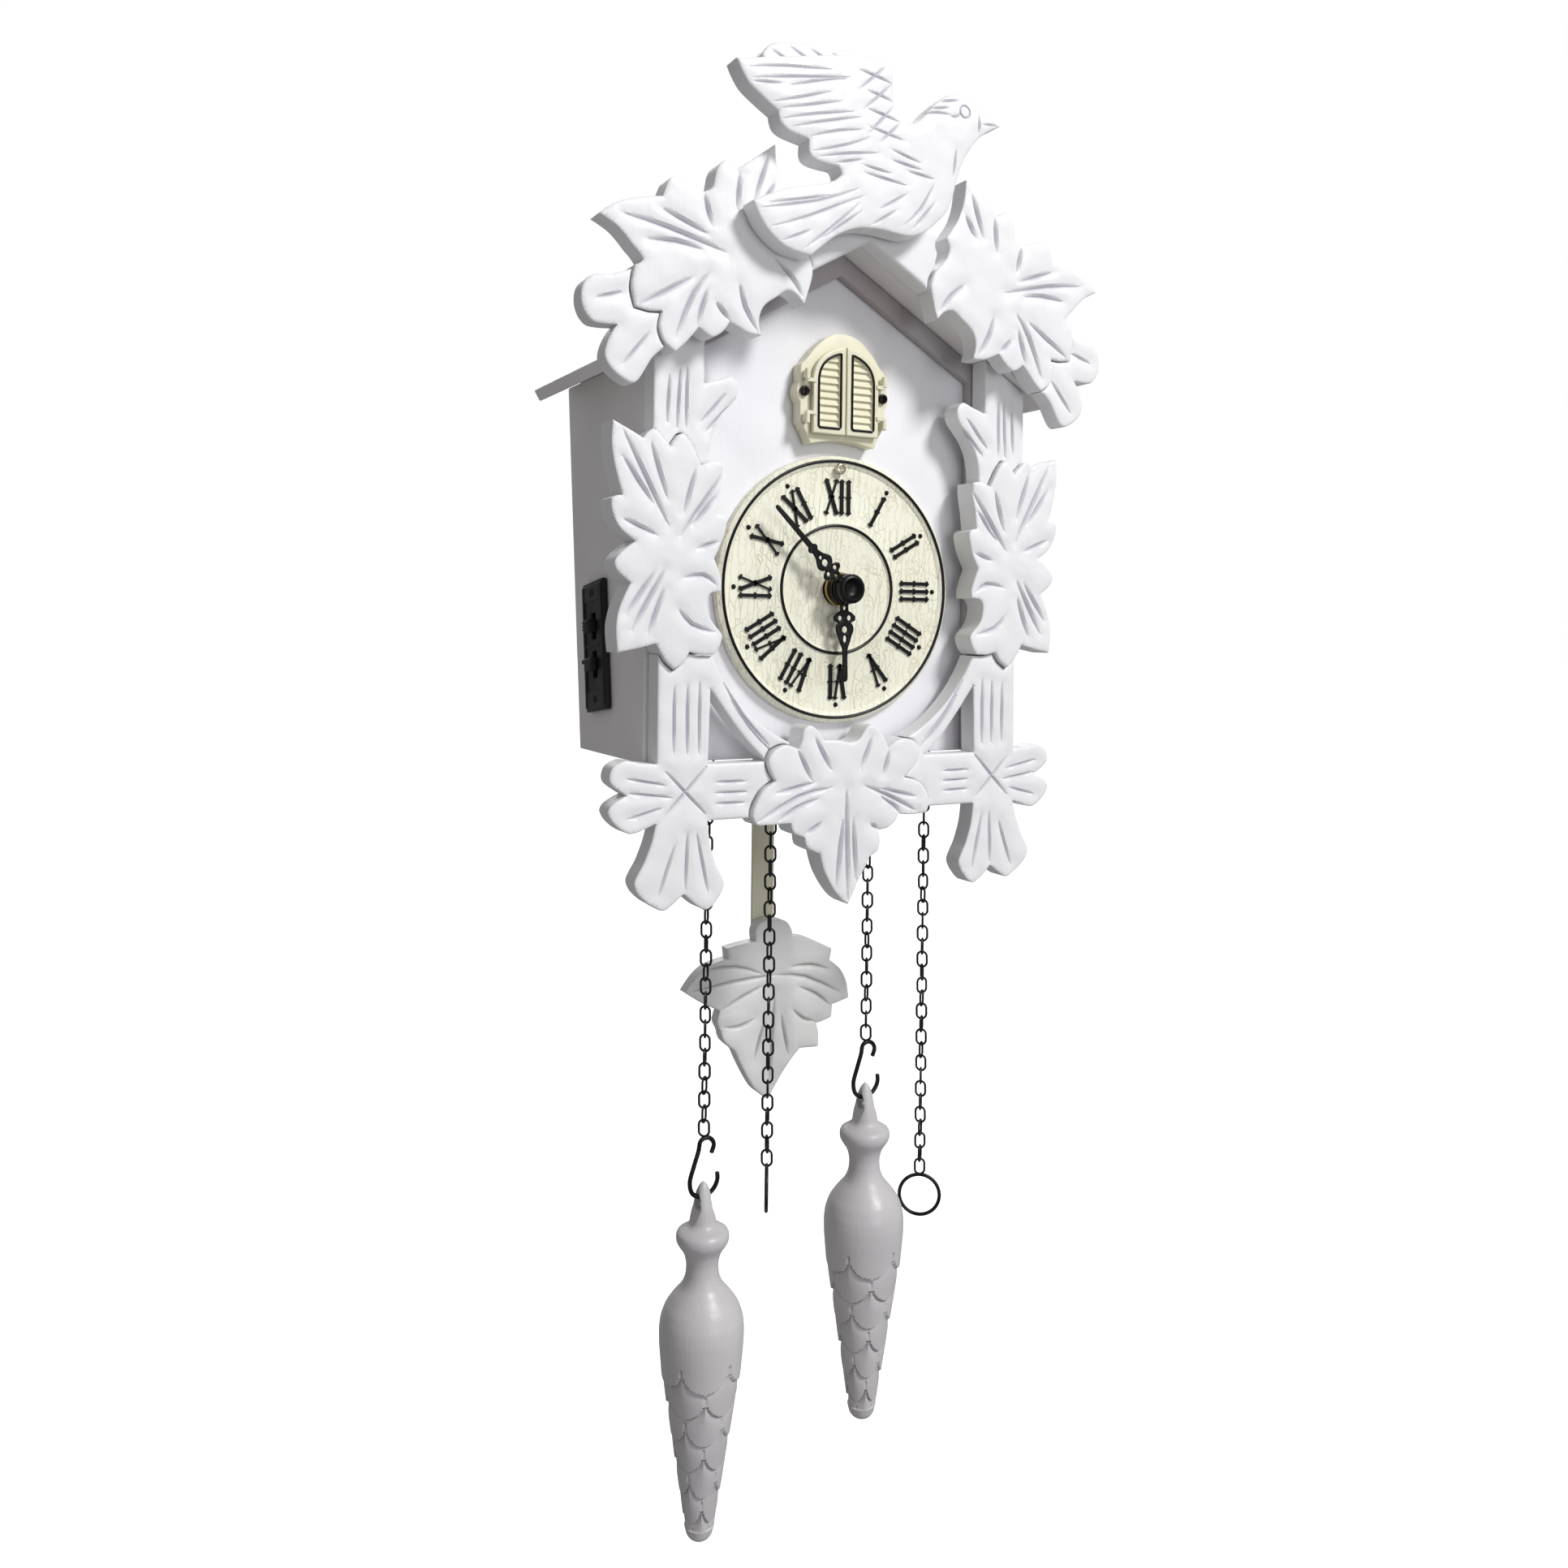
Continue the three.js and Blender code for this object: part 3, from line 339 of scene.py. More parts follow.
def front_loops(node):
    """Outlines of a node's foremost face, as loops of (x, z), the widest first."""
    mesh = frame["nodes"][node].data
    points = [local(v.co) for v in mesh.vertices]
    depth = min(p.y for p in points)
    key = [(round(p.x, 3), round(p.z, 3)) for p in points]
    edges = set()
    for face in mesh.polygons:
        if face.normal.y < -0.99 and all(abs(points[i].y - depth) < 0.02 for i in face.vertices):
            ring = [key[i] for i in face.vertices]
            edges.update(zip(ring, ring[1:] + ring[:1]))
    border = {a: b for a, b in edges if (b, a) not in edges}
    loops = []
    while border:
        start = next(iter(sorted(border)))
        loop = [start]
        while loop[-1] in border:
            loop.append(border.pop(loop[-1]))
        loops.append(np.array(loop[:-1]))
    return sorted(loops, key=lambda l: -np.ptp(l[:, 0]))


SHARP_BEND, SHARP_BEND_OF_LONG_SIDE, LONG_SIDE = 46, 9, 7   # degrees, degrees, mm


def smoothed(loop, step):
    """A loop drawn again with curves through its gentle corners, at an even step."""
    count = len(loop)
    sharp = []
    for i in range(count):
        a, b = loop[i] - loop[i - 1], loop[(i + 1) % count] - loop[i]
        bend = abs(math.degrees(math.atan2(a[0] * b[1] - a[1] * b[0], a @ b)))
        long_side = max(np.hypot(*a), np.hypot(*b)) > LONG_SIDE
        sharp.append(bend > SHARP_BEND or (long_side and bend > SHARP_BEND_OF_LONG_SIDE))
    made = []
    for i in range(count):
        p1, p2 = loop[i], loop[(i + 1) % count]
        p0 = 2 * p1 - p2 if sharp[i] else loop[i - 1]
        p3 = 2 * p2 - p1 if sharp[(i + 1) % count] else loop[(i + 2) % count]
        span = np.hypot(*(p2 - p1))
        m1 = (p2 - p0) / (np.hypot(*(p1 - p0)) + span) * span
        m2 = (p3 - p1) / (np.hypot(*(p3 - p2)) + span) * span
        parts = max(1, round(span / step))
        for k in range(parts):
            t = k / parts
            made.append(
                (2 * t**3 - 3 * t**2 + 1) * p1 + (t**3 - 2 * t**2 + t) * m1
                + (3 * t**2 - 2 * t**3) * p2 + (t**3 - t**2) * m2)
    return np.array(made)


def to_segments(points, a, b):
    """Distance of each point from each segment, and how far along it the nearest place is."""
    along = b - a
    t = ((points[:, None] - a) * along).sum(2) / np.maximum((along**2).sum(1), 1e-9)
    t = np.clip(t, 0, 1)
    away = points[:, None] - (a + t[..., None] * along)
    return np.hypot(away[..., 0], away[..., 1]), t


def edge_distance(points, loops):
    a = np.vstack(loops)
    b = np.vstack([np.roll(l, -1, axis=0) for l in loops])
    best = [to_segments(chunk, a, b)[0].min(1) for chunk in np.array_split(points, len(points) // 1500 + 1)]
    return np.concatenate(best)


def inside(points, loops):
    odd = np.zeros(len(points), bool)
    for loop in loops:
        a, b = loop, np.roll(loop, -1, axis=0)
        x, z = points[:, :1], points[:, 1:]
        spans = (a[:, 1] > z) != (b[:, 1] > z)
        rise = np.where(b[:, 1] == a[:, 1], 1e-9, b[:, 1] - a[:, 1])
        crossing = x < (b[:, 0] - a[:, 0]) * (z - a[:, 1]) / rise + a[:, 0]
        odd ^= (spans & crossing).sum(1) % 2 == 1
    return odd


def dense(line, step=0.45):
    line = np.array(line, float)
    if len(line) > 2:
        middle = (line[:-1] + line[1:]) / 2
        line = np.vstack([line[:1], *[np.vstack([m, p]) for m, p in zip(middle, line[1:])]])
        line[1:-1] = (line[:-2] + 2 * line[1:-1] + line[2:]) / 4
    made = [line[:1]]
    for a, b in zip(line, line[1:]):
        parts = max(1, round(np.hypot(*(b - a)) / step))
        made.append(a + (b - a) * (np.arange(1, parts + 1) / parts)[:, None])
    return np.vstack(made)


def angles(count):
    """This many even turns round a circle."""
    return np.linspace(0, 2 * math.pi, count + 1)[:-1]


def normals(loop):
    tangent = np.roll(loop, -1, axis=0) - np.roll(loop, 1, axis=0)
    tangent /= np.maximum(np.hypot(tangent[:, 0], tangent[:, 1]), 1e-9)[:, None]
    return np.stack([-tangent[:, 1], tangent[:, 0]], 1)


def triangulate(points, loops, lines=()):
    edges, base = [], 0
    for loop in loops:
        edges += [(base + i, base + (i + 1) % len(loop)) for i in range(len(loop))]
        base += len(loop)
    for line in lines:
        edges += [(base + i, base + i + 1) for i in range(len(line) - 1)]
        base += len(line)
    verts, _, faces, *_ = delaunay_2d_cdt([Vector(p) for p in points], edges, [], 0, 1e-5)
    verts = np.array([tuple(v) for v in verts])
    faces = np.array(faces)
    middle = verts[faces].mean(1)
    return verts, faces[inside(middle, loops)]


class Carving:
    """A gouge cut: a line that gets wide and deep along its middle."""

    def __init__(self, line, wide=0.75, deep=0.75, taper=0.75):
        self.line = dense(line)
        self.wide, self.deep, self.taper = wide, deep, taper

    def cut(self, points):
        a, b = self.line[:-1], self.line[1:]
        away, t = to_segments(points, a, b)
        nearest = away.argmin(1)
        rows = np.arange(len(points))
        along = (nearest + t[rows, nearest]) / len(a)
        full = (1 - self.taper) + self.taper * np.sin(np.pi * np.clip(along, 0, 1)) ** 0.6
        away = away[rows, nearest]
        groove = np.clip(1 - away / (self.wide * full), 0, 1) * full
        # The middle value is the groove mask, which also sets painted shade in the groove.
        return groove * self.deep, groove, away


DOME_REACH = 4.5    # how far in from its edge a plate's face bends
HAND_WORK = 0.07    # the unevenness of a face sanded by hand
ROW_PITCH = 0.866   # part of the step between rows of near-equilateral triangles


def relief(name, loops, front, back, material, nodes, cuts=(), step=0.65, rnd=0.4, dome=0.3, soft=0.35,
           shape=None, seam=None):
    """A plate with this outline, its front edge rounded and its front face carved."""
    loops = [smoothed(l, step * 0.8) for l in loops]
    lines = [c.line for c in cuts]
    points = [*loops, *lines]
    low, high = loops[0].min(0), loops[0].max(0)
    rows = []
    for i, z in enumerate(np.arange(low[1], high[1], step * ROW_PITCH)):
        x = np.arange(low[0] + (i % 2) * step / 2, high[0], step)
        rows.append(np.column_stack([x, np.full(len(x), z)]))
    grid = np.vstack(rows)
    grid = grid[inside(grid, loops)]
    grid = grid[edge_distance(grid, loops) > rnd + step * 0.35]
    for c in cuts:
        grid = grid[c.cut(grid)[2] > c.wide * 1.15]
    extra = [grid]
    for part in (0.06, 0.2, 0.45, 0.75, 1.0):
        for loop in loops:
            ring = loop + normals(loop) * rnd * part
            if part > 0.3:
                ring = ring[::2]
            extra.append(ring[(edge_distance(ring, loops) > rnd * part * 0.93) & inside(ring, loops)])
    for c in cuts:
        tangent = np.gradient(c.line, axis=0)
        side = np.stack([-tangent[:, 1], tangent[:, 0]], 1)
        side /= np.maximum(np.hypot(*tangent.T), 1e-9)[:, None]
        for offset in (-1.05, -0.5, 0.5, 1.05):
            flank = c.line + side * offset * c.wide
            extra.append(flank[inside(flank, loops) & (edge_distance(flank, loops) > 0.3)])
    verts, faces = triangulate(np.vstack([*points, *extra]), loops, lines)
    edge = edge_distance(verts, loops)
    d = np.clip(rnd - edge, 0, rnd)
    depth = rnd - np.sqrt(np.maximum(rnd**2 - d**2, 0))
    depth += dome * np.clip(1 - edge / DOME_REACH, 0, 1) ** 2
    # The groove mask gathered here serves only for painted shade in the grooves; the depth is cut on its own.
    groove, cut_shade, hollow = np.zeros((3, len(verts)))
    for c in cuts:
        deep, shade_mark, away = c.cut(verts)
        groove = np.maximum(groove, deep)
        cut_shade = np.maximum(cut_shade, shade_mark)
        hollow = np.maximum(hollow, np.exp(-(away / 2.0) ** 2))
    depth += groove + soft * hollow
    if shape is not None:
        depth += shape(verts, edge)
    u, v = verts[:, 0], verts[:, 1]
    depth += HAND_WORK * np.sin(u * 0.55 + v * 0.31) * np.sin(v * 0.47 - u * 0.2)
    thick = back - front
    depth = np.clip(depth, 0, thick * 0.8)
    solid = [(x, front + h, z) for (x, z), h in zip(verts, depth)]
    total = [tuple(f) for f in faces]
    used = dict.fromkeys((int(a), int(b)) for f in faces for a, b in zip(f, np.roll(f, -1)))
    border = [(a, b) for a, b in used if (b, a) not in used]
    rim = sorted({i for e in border for i in e})
    follow = dict(border)
    before = {b: a for a, b in border}
    inward = {}
    for i in rim:
        t = verts[follow.get(i, i)] - verts[before.get(i, i)]
        length = max(np.hypot(*t), 1e-9)
        inward[i] = np.array([-t[1], t[0]]) / length
    layers = [{i: i for i in rim}]
    crisp = {}
    for i in rim:
        crisp[i] = len(solid)
        solid.append((verts[i][0], min(solid[i][1] + 0.2, back - thick * 0.35), verts[i][1]))
    layers.append(crisp)
    bevel = min(0.35, thick * 0.15)
    for y, inset in ((back - thick * 0.3, 0), (back - bevel, 0), (back, bevel)):
        layer = {}
        for i in rim:
            layer[i] = len(solid)
            x, z = verts[i] + inward[i] * inset
            solid.append((x, y, z))
        layers.append(layer)
    for upper, lower in zip(layers, layers[1:]):
        total += [(upper[b], upper[a], lower[a], lower[b]) for a, b in border]
    last = layers[-1]
    outline = {i: n for n, i in enumerate(rim)}
    flat = [Vector(verts[i]) for i in rim]
    cap_edges = [(outline[a], outline[b]) for a, b in border]
    cap_v, _, cap_f, orig, *_ = delaunay_2d_cdt(flat, cap_edges, [], 0, 1e-5)
    cap_f = np.array(cap_f)
    middle = np.array([tuple(v) for v in cap_v])[cap_f].mean(1)
    source = [o[0] if o else None for o in orig]
    for f in cap_f[inside(middle, loops)]:
        if all(source[i] is not None for i in f):
            total.append(tuple(last[rim[source[i]]] for i in reversed(f)))
    cut_shade = np.concatenate([cut_shade, np.zeros(len(solid) - len(verts))])
    seams = np.zeros(len(solid))
    if seam is not None:
        ends, reach = seam
        flat_points = np.array([(p[0], p[2]) for p in solid])
        away = to_segments(flat_points, np.array(ends[:1]), np.array(ends[1:]))[0][:, 0]
        seams = np.clip(1 - away / reach, 0, 1)
    marks = {"cut_shade": cut_shade, "seam": seams}
    return make(name, solid, total, material, nodes, attributes=marks)


def refined(node, material, bevel, smooth=0):
    """A node's own shape with its edges rounded, or its facets smoothed away."""
    mesh = frame["nodes"][node].data.copy()
    with editing(mesh) as edit:
        bmesh.ops.remove_doubles(edit, verts=edit.verts, dist=1e-6)
        if bevel:
            bmesh.ops.dissolve_limit(edit, angle_limit=0.01, verts=edit.verts, edges=edit.edges)
            sharp = [e for e in edit.edges if len(e.link_faces) == 2 and e.calc_face_angle(0) > 0.6]
            bmesh.ops.bevel(edit, geom=sharp, offset=bevel * MM, segments=3, profile=0.5,
                            affect="EDGES", clamp_overlap=True)
    mesh.materials.clear()
    mesh.polygons.foreach_set("material_index", [0] * len(mesh.polygons))
    shade(mesh, material, 40)
    piece = linked(f"{node}_detail", mesh)
    if smooth:
        piece.modifiers.new("smooth", "SUBSURF").levels = smooth
        piece.modifiers["smooth"].render_levels = smooth
    return place(piece, [node])


def lathe(name, profile, centre, axis, material, nodes, replace=True, around=48):
    """A turned piece. profile is (radius, distance along the axis), closed on the axis or round a bore."""
    verts, faces = [], []
    for k in range(around):
        turn = 2 * math.pi * k / around
        c, s = math.cos(turn), math.sin(turn)
        for r, h in profile:
            offset = {"x": (h, r * c, r * s), "y": (r * c, h, r * s), "z": (r * c, r * s, h)}[axis]
            verts.append(tuple(a + b for a, b in zip(centre, offset)))
    rows = len(profile)
    for k in range(around):
        for i in range(rows if profile[0][0] > 0 else rows - 1):
            j = (i + 1) % rows
            m = (k + 1) % around
            faces.append((k * rows + i, k * rows + j, m * rows + j, m * rows + i))
    piece = make(name, verts, faces, material, nodes, replace)
    with editing(piece.data) as edit:
        bmesh.ops.remove_doubles(edit, verts=edit.verts, dist=1e-7)
        bmesh.ops.dissolve_degenerate(edit, edges=edit.edges, dist=1e-8)
    return piece


def merged(name, parts, material, nodes, replace=False):
    """One piece from several closed shells, each (points, faces)."""
    verts, faces = [], []
    for points, sides in parts:
        faces += [tuple(i + len(verts) for i in f) for f in sides]
        verts += [tuple(p) for p in points]
    return make(name, verts, faces, material, nodes, replace)


def tube(path, radius, sides):
    """Points and faces of a round wire along a closed path."""
    path = np.array(path, float)
    count = len(path)
    tangent = np.roll(path, -1, 0) - np.roll(path, 1, 0)
    tangent /= np.linalg.norm(tangent, axis=1)[:, None]
    plane = np.linalg.svd(path - path.mean(0))[2][2]
    across = np.cross(tangent, plane)
    across /= np.linalg.norm(across, axis=1)[:, None]
    other = np.cross(tangent, across)
    verts, faces = [], []
    for i in range(count):
        for k in range(sides):
            a = 2 * math.pi * k / sides
            verts.append(path[i] + radius * (math.cos(a) * across[i] + math.sin(a) * other[i]))
    for i in range(count):
        j = (i + 1) % count
        for k in range(sides):
            m = (k + 1) % sides
            faces.append((i * sides + k, i * sides + m, j * sides + m, j * sides + k))
    return verts, faces


def slab(outline, front, back, rnd=0.15):
    """Points and faces of a small plate with a chamfered front edge."""
    outline = np.array(outline, float)
    middle = outline.mean(0)
    count = len(outline)
    inner = middle + (outline - middle) * (1 - rnd / max(np.abs(outline - middle).max(), 0.3))
    layers = ((back, outline), (front + rnd, outline), (front, inner))
    verts = [(x, y, z) for y, ring in layers for x, z in ring]
    faces = [tuple(range(count)), tuple(2 * count + i for i in range(count))[::-1]]
    for r in (0, count):
        faces += [(r + i, r + count + i, r + count + (i + 1) % count, r + (i + 1) % count)
                  for i in range(count)]
    return verts, faces


def on_side(side, lines, across=0.0, raised=0.0):
    """Lines drawn for the left side. On the right they are mirrored, and moved to where that piece sits."""
    if side == "left":
        return lines
    return [[(-x + across, z + raised) for x, z in line] for line in lines]


# ---- case ----
refined("front_board", FLAT_WHITE, bevel=0.25)
for board in ("side_board_left", "side_board_right", "bottom_board", "back_cover", "gable_back_board",
              "roof_board_left", "roof_board_right"):
    refined(board, SHADED_CASE_WHITE, bevel=0.45)
refined("spacer_strip", SHADED_STRIP_WOOD, bevel=0.25)

# ---- carved pieces ----
SIDE_CUTS = [
    [(-65.2, 36.5), (-59, 25), (-53.4, 14.4)], [(-65.2, 30.1), (-57.7, 19.7)],
    [(-58.1, 34), (-53.8, 21.1)], [(-46.3, 28.3), (-49.3, 17.6)], [(-38.8, 27.7), (-50.2, 11.9)],
    [(-40.6, 22.2), (-47, 14.7)], [(-64.9, 15.3), (-56.6, 11.9)], [(-39.9, 10.8), (-45.2, 9)],
    [(-49, 1.6), (-43.4, 2.8), (-40.2, 0.1)], [(-50.2, -6.4), (-47, -10.3), (-40.9, -11.7)],
    [(-57, 2.6), (-64.1, -7.4)], [(-54.3, 3.4), (-62.7, -11.4)], [(-54.5, -1.4), (-58.4, -12.1)],
]
CENTRE_CUTS = [
    [(-10.9, -39.2), (-6.5, -47.3)], [(6.3, -39.5), (2.9, -47.6)], [(-1.5, -52.9), (-0.6, -82)],
    [(-2.4, -60.8), (-4.3, -78.4)], [(0.7, -61.1), (1.9, -77)],
    [(-6.2, -52.3), (-15.9, -53.6), (-27.4, -60)], [(-11.5, -50.8), (-22.1, -52.9)],
    [(-10.3, -55.1), (-17.1, -57), (-21.2, -60)], [(-9.1, -61.4), (-13.4, -64)],
    [(4.4, -52.3), (12.3, -55.4), (20.4, -59.6)], [(9.4, -53.3), (20.4, -55.9)],
    [(9.4, -55.4), (13.8, -57.9), (15.4, -60)], [(6.3, -62.6), (8.6, -64)],
    [(-16, -42.4), (-12.1, -50.1)], [(11.9, -43.4), (10, -49.5)],
]
ROOF_CUTS = [
    [(-69, 86.2), (-58, 85), (-42.7, 81)], [(-59, 88.9), (-47.3, 84.7)],
    [(-62.7, 81.1), (-55.3, 81.9), (-49, 80.7)], [(-48, 94), (-46.3, 87.3)],
    [(-38.7, 100.6), (-39.3, 92)], [(-31, 106), (-34.7, 95)], [(-29, 100), (-32, 94.7)],
    [(-51, 73.7), (-64, 65.8)], [(-46.7, 75.3), (-50.7, 70.7), (-55.3, 59.3)],
    [(-47.3, 71), (-49.7, 62.7)], [(-44.7, 68.3), (-41.3, 64.8)],
    [(-38.5, 73.7), (-37, 68), (-33.3, 62.9)], [(-28.7, 81.3), (-24, 78), (-21, 73.5)],
]
TWIG_CUTS = [[(-75, 66), (-69, 67.9)], [(-68.3, 51.3), (-62, 59)]]
LOWER_CUTS = [
    [(-50.6, -25.8), (-50.6, -41.5)], [(-47, -25.4), (-47, -41.9)], [(-43.7, -24.7), (-43.7, -41.9)],
    [(-38.6, -49.5), (-31, -49.6)], [(-38.6, -52.2), (-30.5, -52.3)], [(-38.6, -54.9), (-31, -55)],
    [(-52.5, -46.4), (-41.8, -57.2)], [(-41.4, -45.4), (-52.5, -56.9)], [(-62.5, -47.7), (-52.9, -49.6)],
    [(-62.1, -51.2), (-51.4, -52.7)], [(-62.1, -57.4), (-53.9, -55.3)], [(-50.1, -64.9), (-54.1, -76.5)],
    [(-46.6, -62.2), (-47, -75.6)], [(-43.9, -62.6), (-40.9, -76.5)],
    [(-37, -24.5), (-31.5, -33.4), (-24, -40.6)], [(-35, -28.8), (-29.5, -36.4), (-23, -42.4)],
]
UPPER_CUTS = [
    [(-52.9, 51.1), (-53.4, 40.1)], [(-50, 52.9), (-50.7, 39)], [(-48.1, 53.6), (-48.3, 39.4)],
    [(-37.6, 48.1), (-44.1, 40.8)], [(-36.3, 45.3), (-42.7, 38.6)],
]
BIRD_CUTS = [
    [(-40, 124.2), (-31, 126.4), (-17, 128.2)], [(-38.5, 121.8), (-29, 124), (-12, 127.3)],
    [(-38.6, 120.9), (-31, 122)], [(-28.5, 122), (-17, 126), (-13, 126.6)],
    [(-33, 117.2), (-26, 119.5), (-17, 122.8)], [(-31, 116), (-22, 118.6), (-14, 121)],
    [(-30.5, 113.6), (-21, 116.6), (-10.6, 119)], [(-27.5, 112.2), (-18, 115.4), (-8.6, 118)],
    [(-22.5, 110.8), (-15, 113.6), (-8, 115)], [(-22, 107.2), (-12, 110.4), (-6, 113.4)],
    [(-20, 106.2), (-12, 108.4), (-3, 110)], [(-15, 105.6), (-8, 107.5)], [(-9, 130), (1, 128.4)],
    [(-6.5, 125.2), (1.2, 124)], [(-6.3, 120.6), (3, 119.2)], [(-6, 116.2), (4.3, 114.6)],
    [(-9, 125), (-1.2, 132.4)], [(-7.6, 120.4), (0.8, 128.2)], [(-6, 114.6), (1.3, 122.5)],
    [(-2.5, 113), (3, 118.4)], [(1, 111.6), (9.5, 109.8)], [(1, 109), (10, 108)], [(6, 107), (14, 106.3)],
    [(-7.5, 106.2), (0.5, 105.5)], [(-7, 104.4), (5.5, 103.2)], [(5, 93), (9.8, 97.5), (14, 105)],
    [(7.6, 92.4), (14.5, 100.5)], [(-4.5, 91.8), (2.5, 96.4)], [(-2.4, 96), (5.5, 101)],
    [(-19, 86.2), (-8, 94.5)], [(-36, 91), (-20, 95), (-9, 100)], [(-34, 92.6), (-25, 94.8), (-17, 97)],
    [(-33, 87), (-24, 90.4), (-12, 96.4), (-7.5, 98.3)], [(-30, 84), (-22.5, 87.6)],
    [(-24, 83), (-17, 88.6), (-9, 96)], [(21, 115.6), (20.2, 108)], [(10.6, 122.8), (15, 124), (19, 124)],
    [(13, 124.6), (18.4, 125.8)], [(16, 127), (21.6, 128.4)], [(28.4, 125.6), (28.3, 121)],
    [(29.4, 123.5), (34.6, 124.3)], [(22.1, 125.2), (21.3, 123.9), (19, 123.6)],
]
WING_CUTS = [
    [(-30, 133), (-24, 130.4)], [(-25, 135), (-18, 132)], [(-19, 135.6), (-13, 133)],
    [(-13, 136), (-8, 134)],
]
BOB_CUTS = [
    [(-21, -109), (-11, -108.6), (-3, -112)], [(-25, -114.8), (-12, -113.2), (2, -113)],
    [(-15, -121), (-9, -118), (-2.5, -115.8)], [(7, -111.2), (14, -111), (20, -113.2)],
    [(2, -113), (12, -114), (24, -120.6)], [(10, -117.5), (16, -120), (20.5, -124)],
    [(8, -124), (11.5, -127.4), (15.4, -128.4)], [(-14.4, -126.4), (-10, -127), (-5, -125)],
    [(1.8, -118), (0.3, -145)], [(-1.5, -126), (-4.8, -137)], [(4, -125), (6.5, -137)],
]
LEAF_CUT = dict(wide=0.8, deep=1.0)
FRAME_CUT = dict(wide=0.55, deep=0.75, taper=0.55)
FEATHER_CUT = dict(wide=0.5, deep=0.55)
ROOF_SHIFT = (0.6, 1.2)
TWIG_SHIFT = (-1.2, 0.4)
TORN_EDGE = [(-62.5, 73), (-56.5, 58)]


def gouged(lines, how):
    return [Carving(line, **how) for line in lines]


def depths(node):
    lo, hi = corners(node)
    return local(lo).y, local(hi).y


def carved_node(node, lines, how, **look):
    front, back = depths(node)
    material = look.pop("material", WHITE)
    return relief(node + "_carved", front_loops(node), front, back, material, [node],
                  gouged(lines, how), **look)


for side in ("left", "right"):
    carved_node(f"side_leaf_{side}", on_side(side, SIDE_CUTS), LEAF_CUT, dome=0.35)
    carved_node(f"roof_leaf_{side}", on_side(side, ROOF_CUTS, *ROOF_SHIFT), LEAF_CUT, dome=0.35)
    torn = on_side(side, [TORN_EDGE], *TWIG_SHIFT)[0]
    twig_cuts = on_side(side, TWIG_CUTS, *TWIG_SHIFT)
    carved_node(f"roof_twig_{side}", twig_cuts, FRAME_CUT, rnd=0.5, seam=(torn, 1.6))
    carved_node(f"frame_corner_{side}", on_side(side, LOWER_CUTS), FRAME_CUT, rnd=0.45)
    carved_node(f"frame_branch_{side}", on_side(side, UPPER_CUTS), FRAME_CUT, rnd=0.45)
carved_node("centre_leaf", CENTRE_CUTS, LEAF_CUT, dome=0.35)
carved_node("gable_strip", [], LEAF_CUT, rnd=1.0, dome=0.2)
carved_node("pendulum_bob", BOB_CUTS, dict(wide=0.8, deep=0.7), rnd=0.45, material=BOB_PAINT, dome=0.4)
carved_node("bird_rear_wing", WING_CUTS, FEATHER_CUT, rnd=0.5)
BIRD_EYE, BIRD_EYE_R = (23.6, 125.7), 1.6
eye = [(BIRD_EYE[0] + BIRD_EYE_R * math.cos(a), BIRD_EYE[1] + BIRD_EYE_R * math.sin(a))
       for a in np.linspace(0.4, 2 * math.pi + 0.35, 18)]
bird_front, bird_back = depths("bird")
relief("bird_carved", front_loops("bird"), bird_front, bird_back, WHITE, ["bird"],
       gouged(BIRD_CUTS, FEATHER_CUT) + [Carving(eye, 0.32, 0.4, 0.0)],
       rnd=0.45, dome=0.5, step=0.6, soft=0.12)
refined("pendulum_rod", IVORY, bevel=0.2)

# ---- dial and hands ----
dial_front, dial_back = depths("dial")
DIAL_R = (dial_hi.x - dial_lo.x) / 2 / MM
RING_R, INNER_R = 34.5, 17.2
face = dial_front + 0.9
lathe("dial_plate", [
    (4.4, dial_back), (4.4, face), (INNER_R - 0.9, face), (INNER_R - 0.5, face - 0.35),
    (INNER_R + 0.5, face - 0.35), (INNER_R + 1.4, face),
    (RING_R - 1.5, face), (RING_R - 0.7, face - 0.7), (RING_R + 0.5, face - 0.8),
    (DIAL_R - 0.6, face - 0.45), (DIAL_R - 0.1, face), (DIAL_R, dial_back),
], (0, 0, 0), "y", DIAL_IVORY, ["dial"], around=144)
for ring_name, radius, height in (
        ("dial_ring_outer", RING_R, face - 0.82), ("dial_ring_inner", INNER_R, face - 0.42)):
    points = [(radius * math.cos(a), height, radius * math.sin(a)) for a in angles(144)]
    merged(ring_name, [tube(points, 0.42, 8)], BLACK, ["dial"])

STROKE_FOOT, STROKE_TOP = 20.0, 29.8
HOUR_DOT_AT = 31.1
HOUR_DOT = [(0, -0.6), (0.35, -0.54), (0.58, -0.3), (0.68, 0), (0.68, 0.1), (0, 0.1)]
THICK, THIN = 0.48, 0.24
NUMERALS = ["XII", "I", "II", "III", "IIII", "V", "VI", "VII", "VIII", "IX", "X", "XI"]
ADVANCE = {"I": 2.15, "V": 3.7, "X": 4.3}
STROKES = {   # where each stroke's foot and top stand across the letter, and its half width
    "I": [(0, 0, 0.46)],
    "V": [(0.15, -1.5, THICK), (-0.15, 1.5, THIN)],
    "X": [(1.75, -1.75, THICK), (-1.75, 1.75, THIN)],
}


def stroke(u0, v0, u1, v1, wide):
    """Outline of a stroke with an arrow point at each end and a tick across its middle."""
    a, b = np.array((u0, v0)), np.array((u1, v1))
    along = (b - a) / np.hypot(*(b - a))
    side = np.array((along[1], -along[0]))
    length = np.hypot(*(b - a))
    half = [(0, 0), (0.7, 0.85), (0.95, wide), (length / 2 - 0.22, wide), (length / 2 - 0.22, 0.8),
            (length / 2 + 0.22, 0.8), (length / 2 + 0.22, wide), (length - 0.95, wide), (length - 0.7, 0.85),
            (length, 0)]
    outline = half + [(s, -w) for s, w in half[-2:0:-1]]
    return [a + along * s + side * w for s, w in outline]


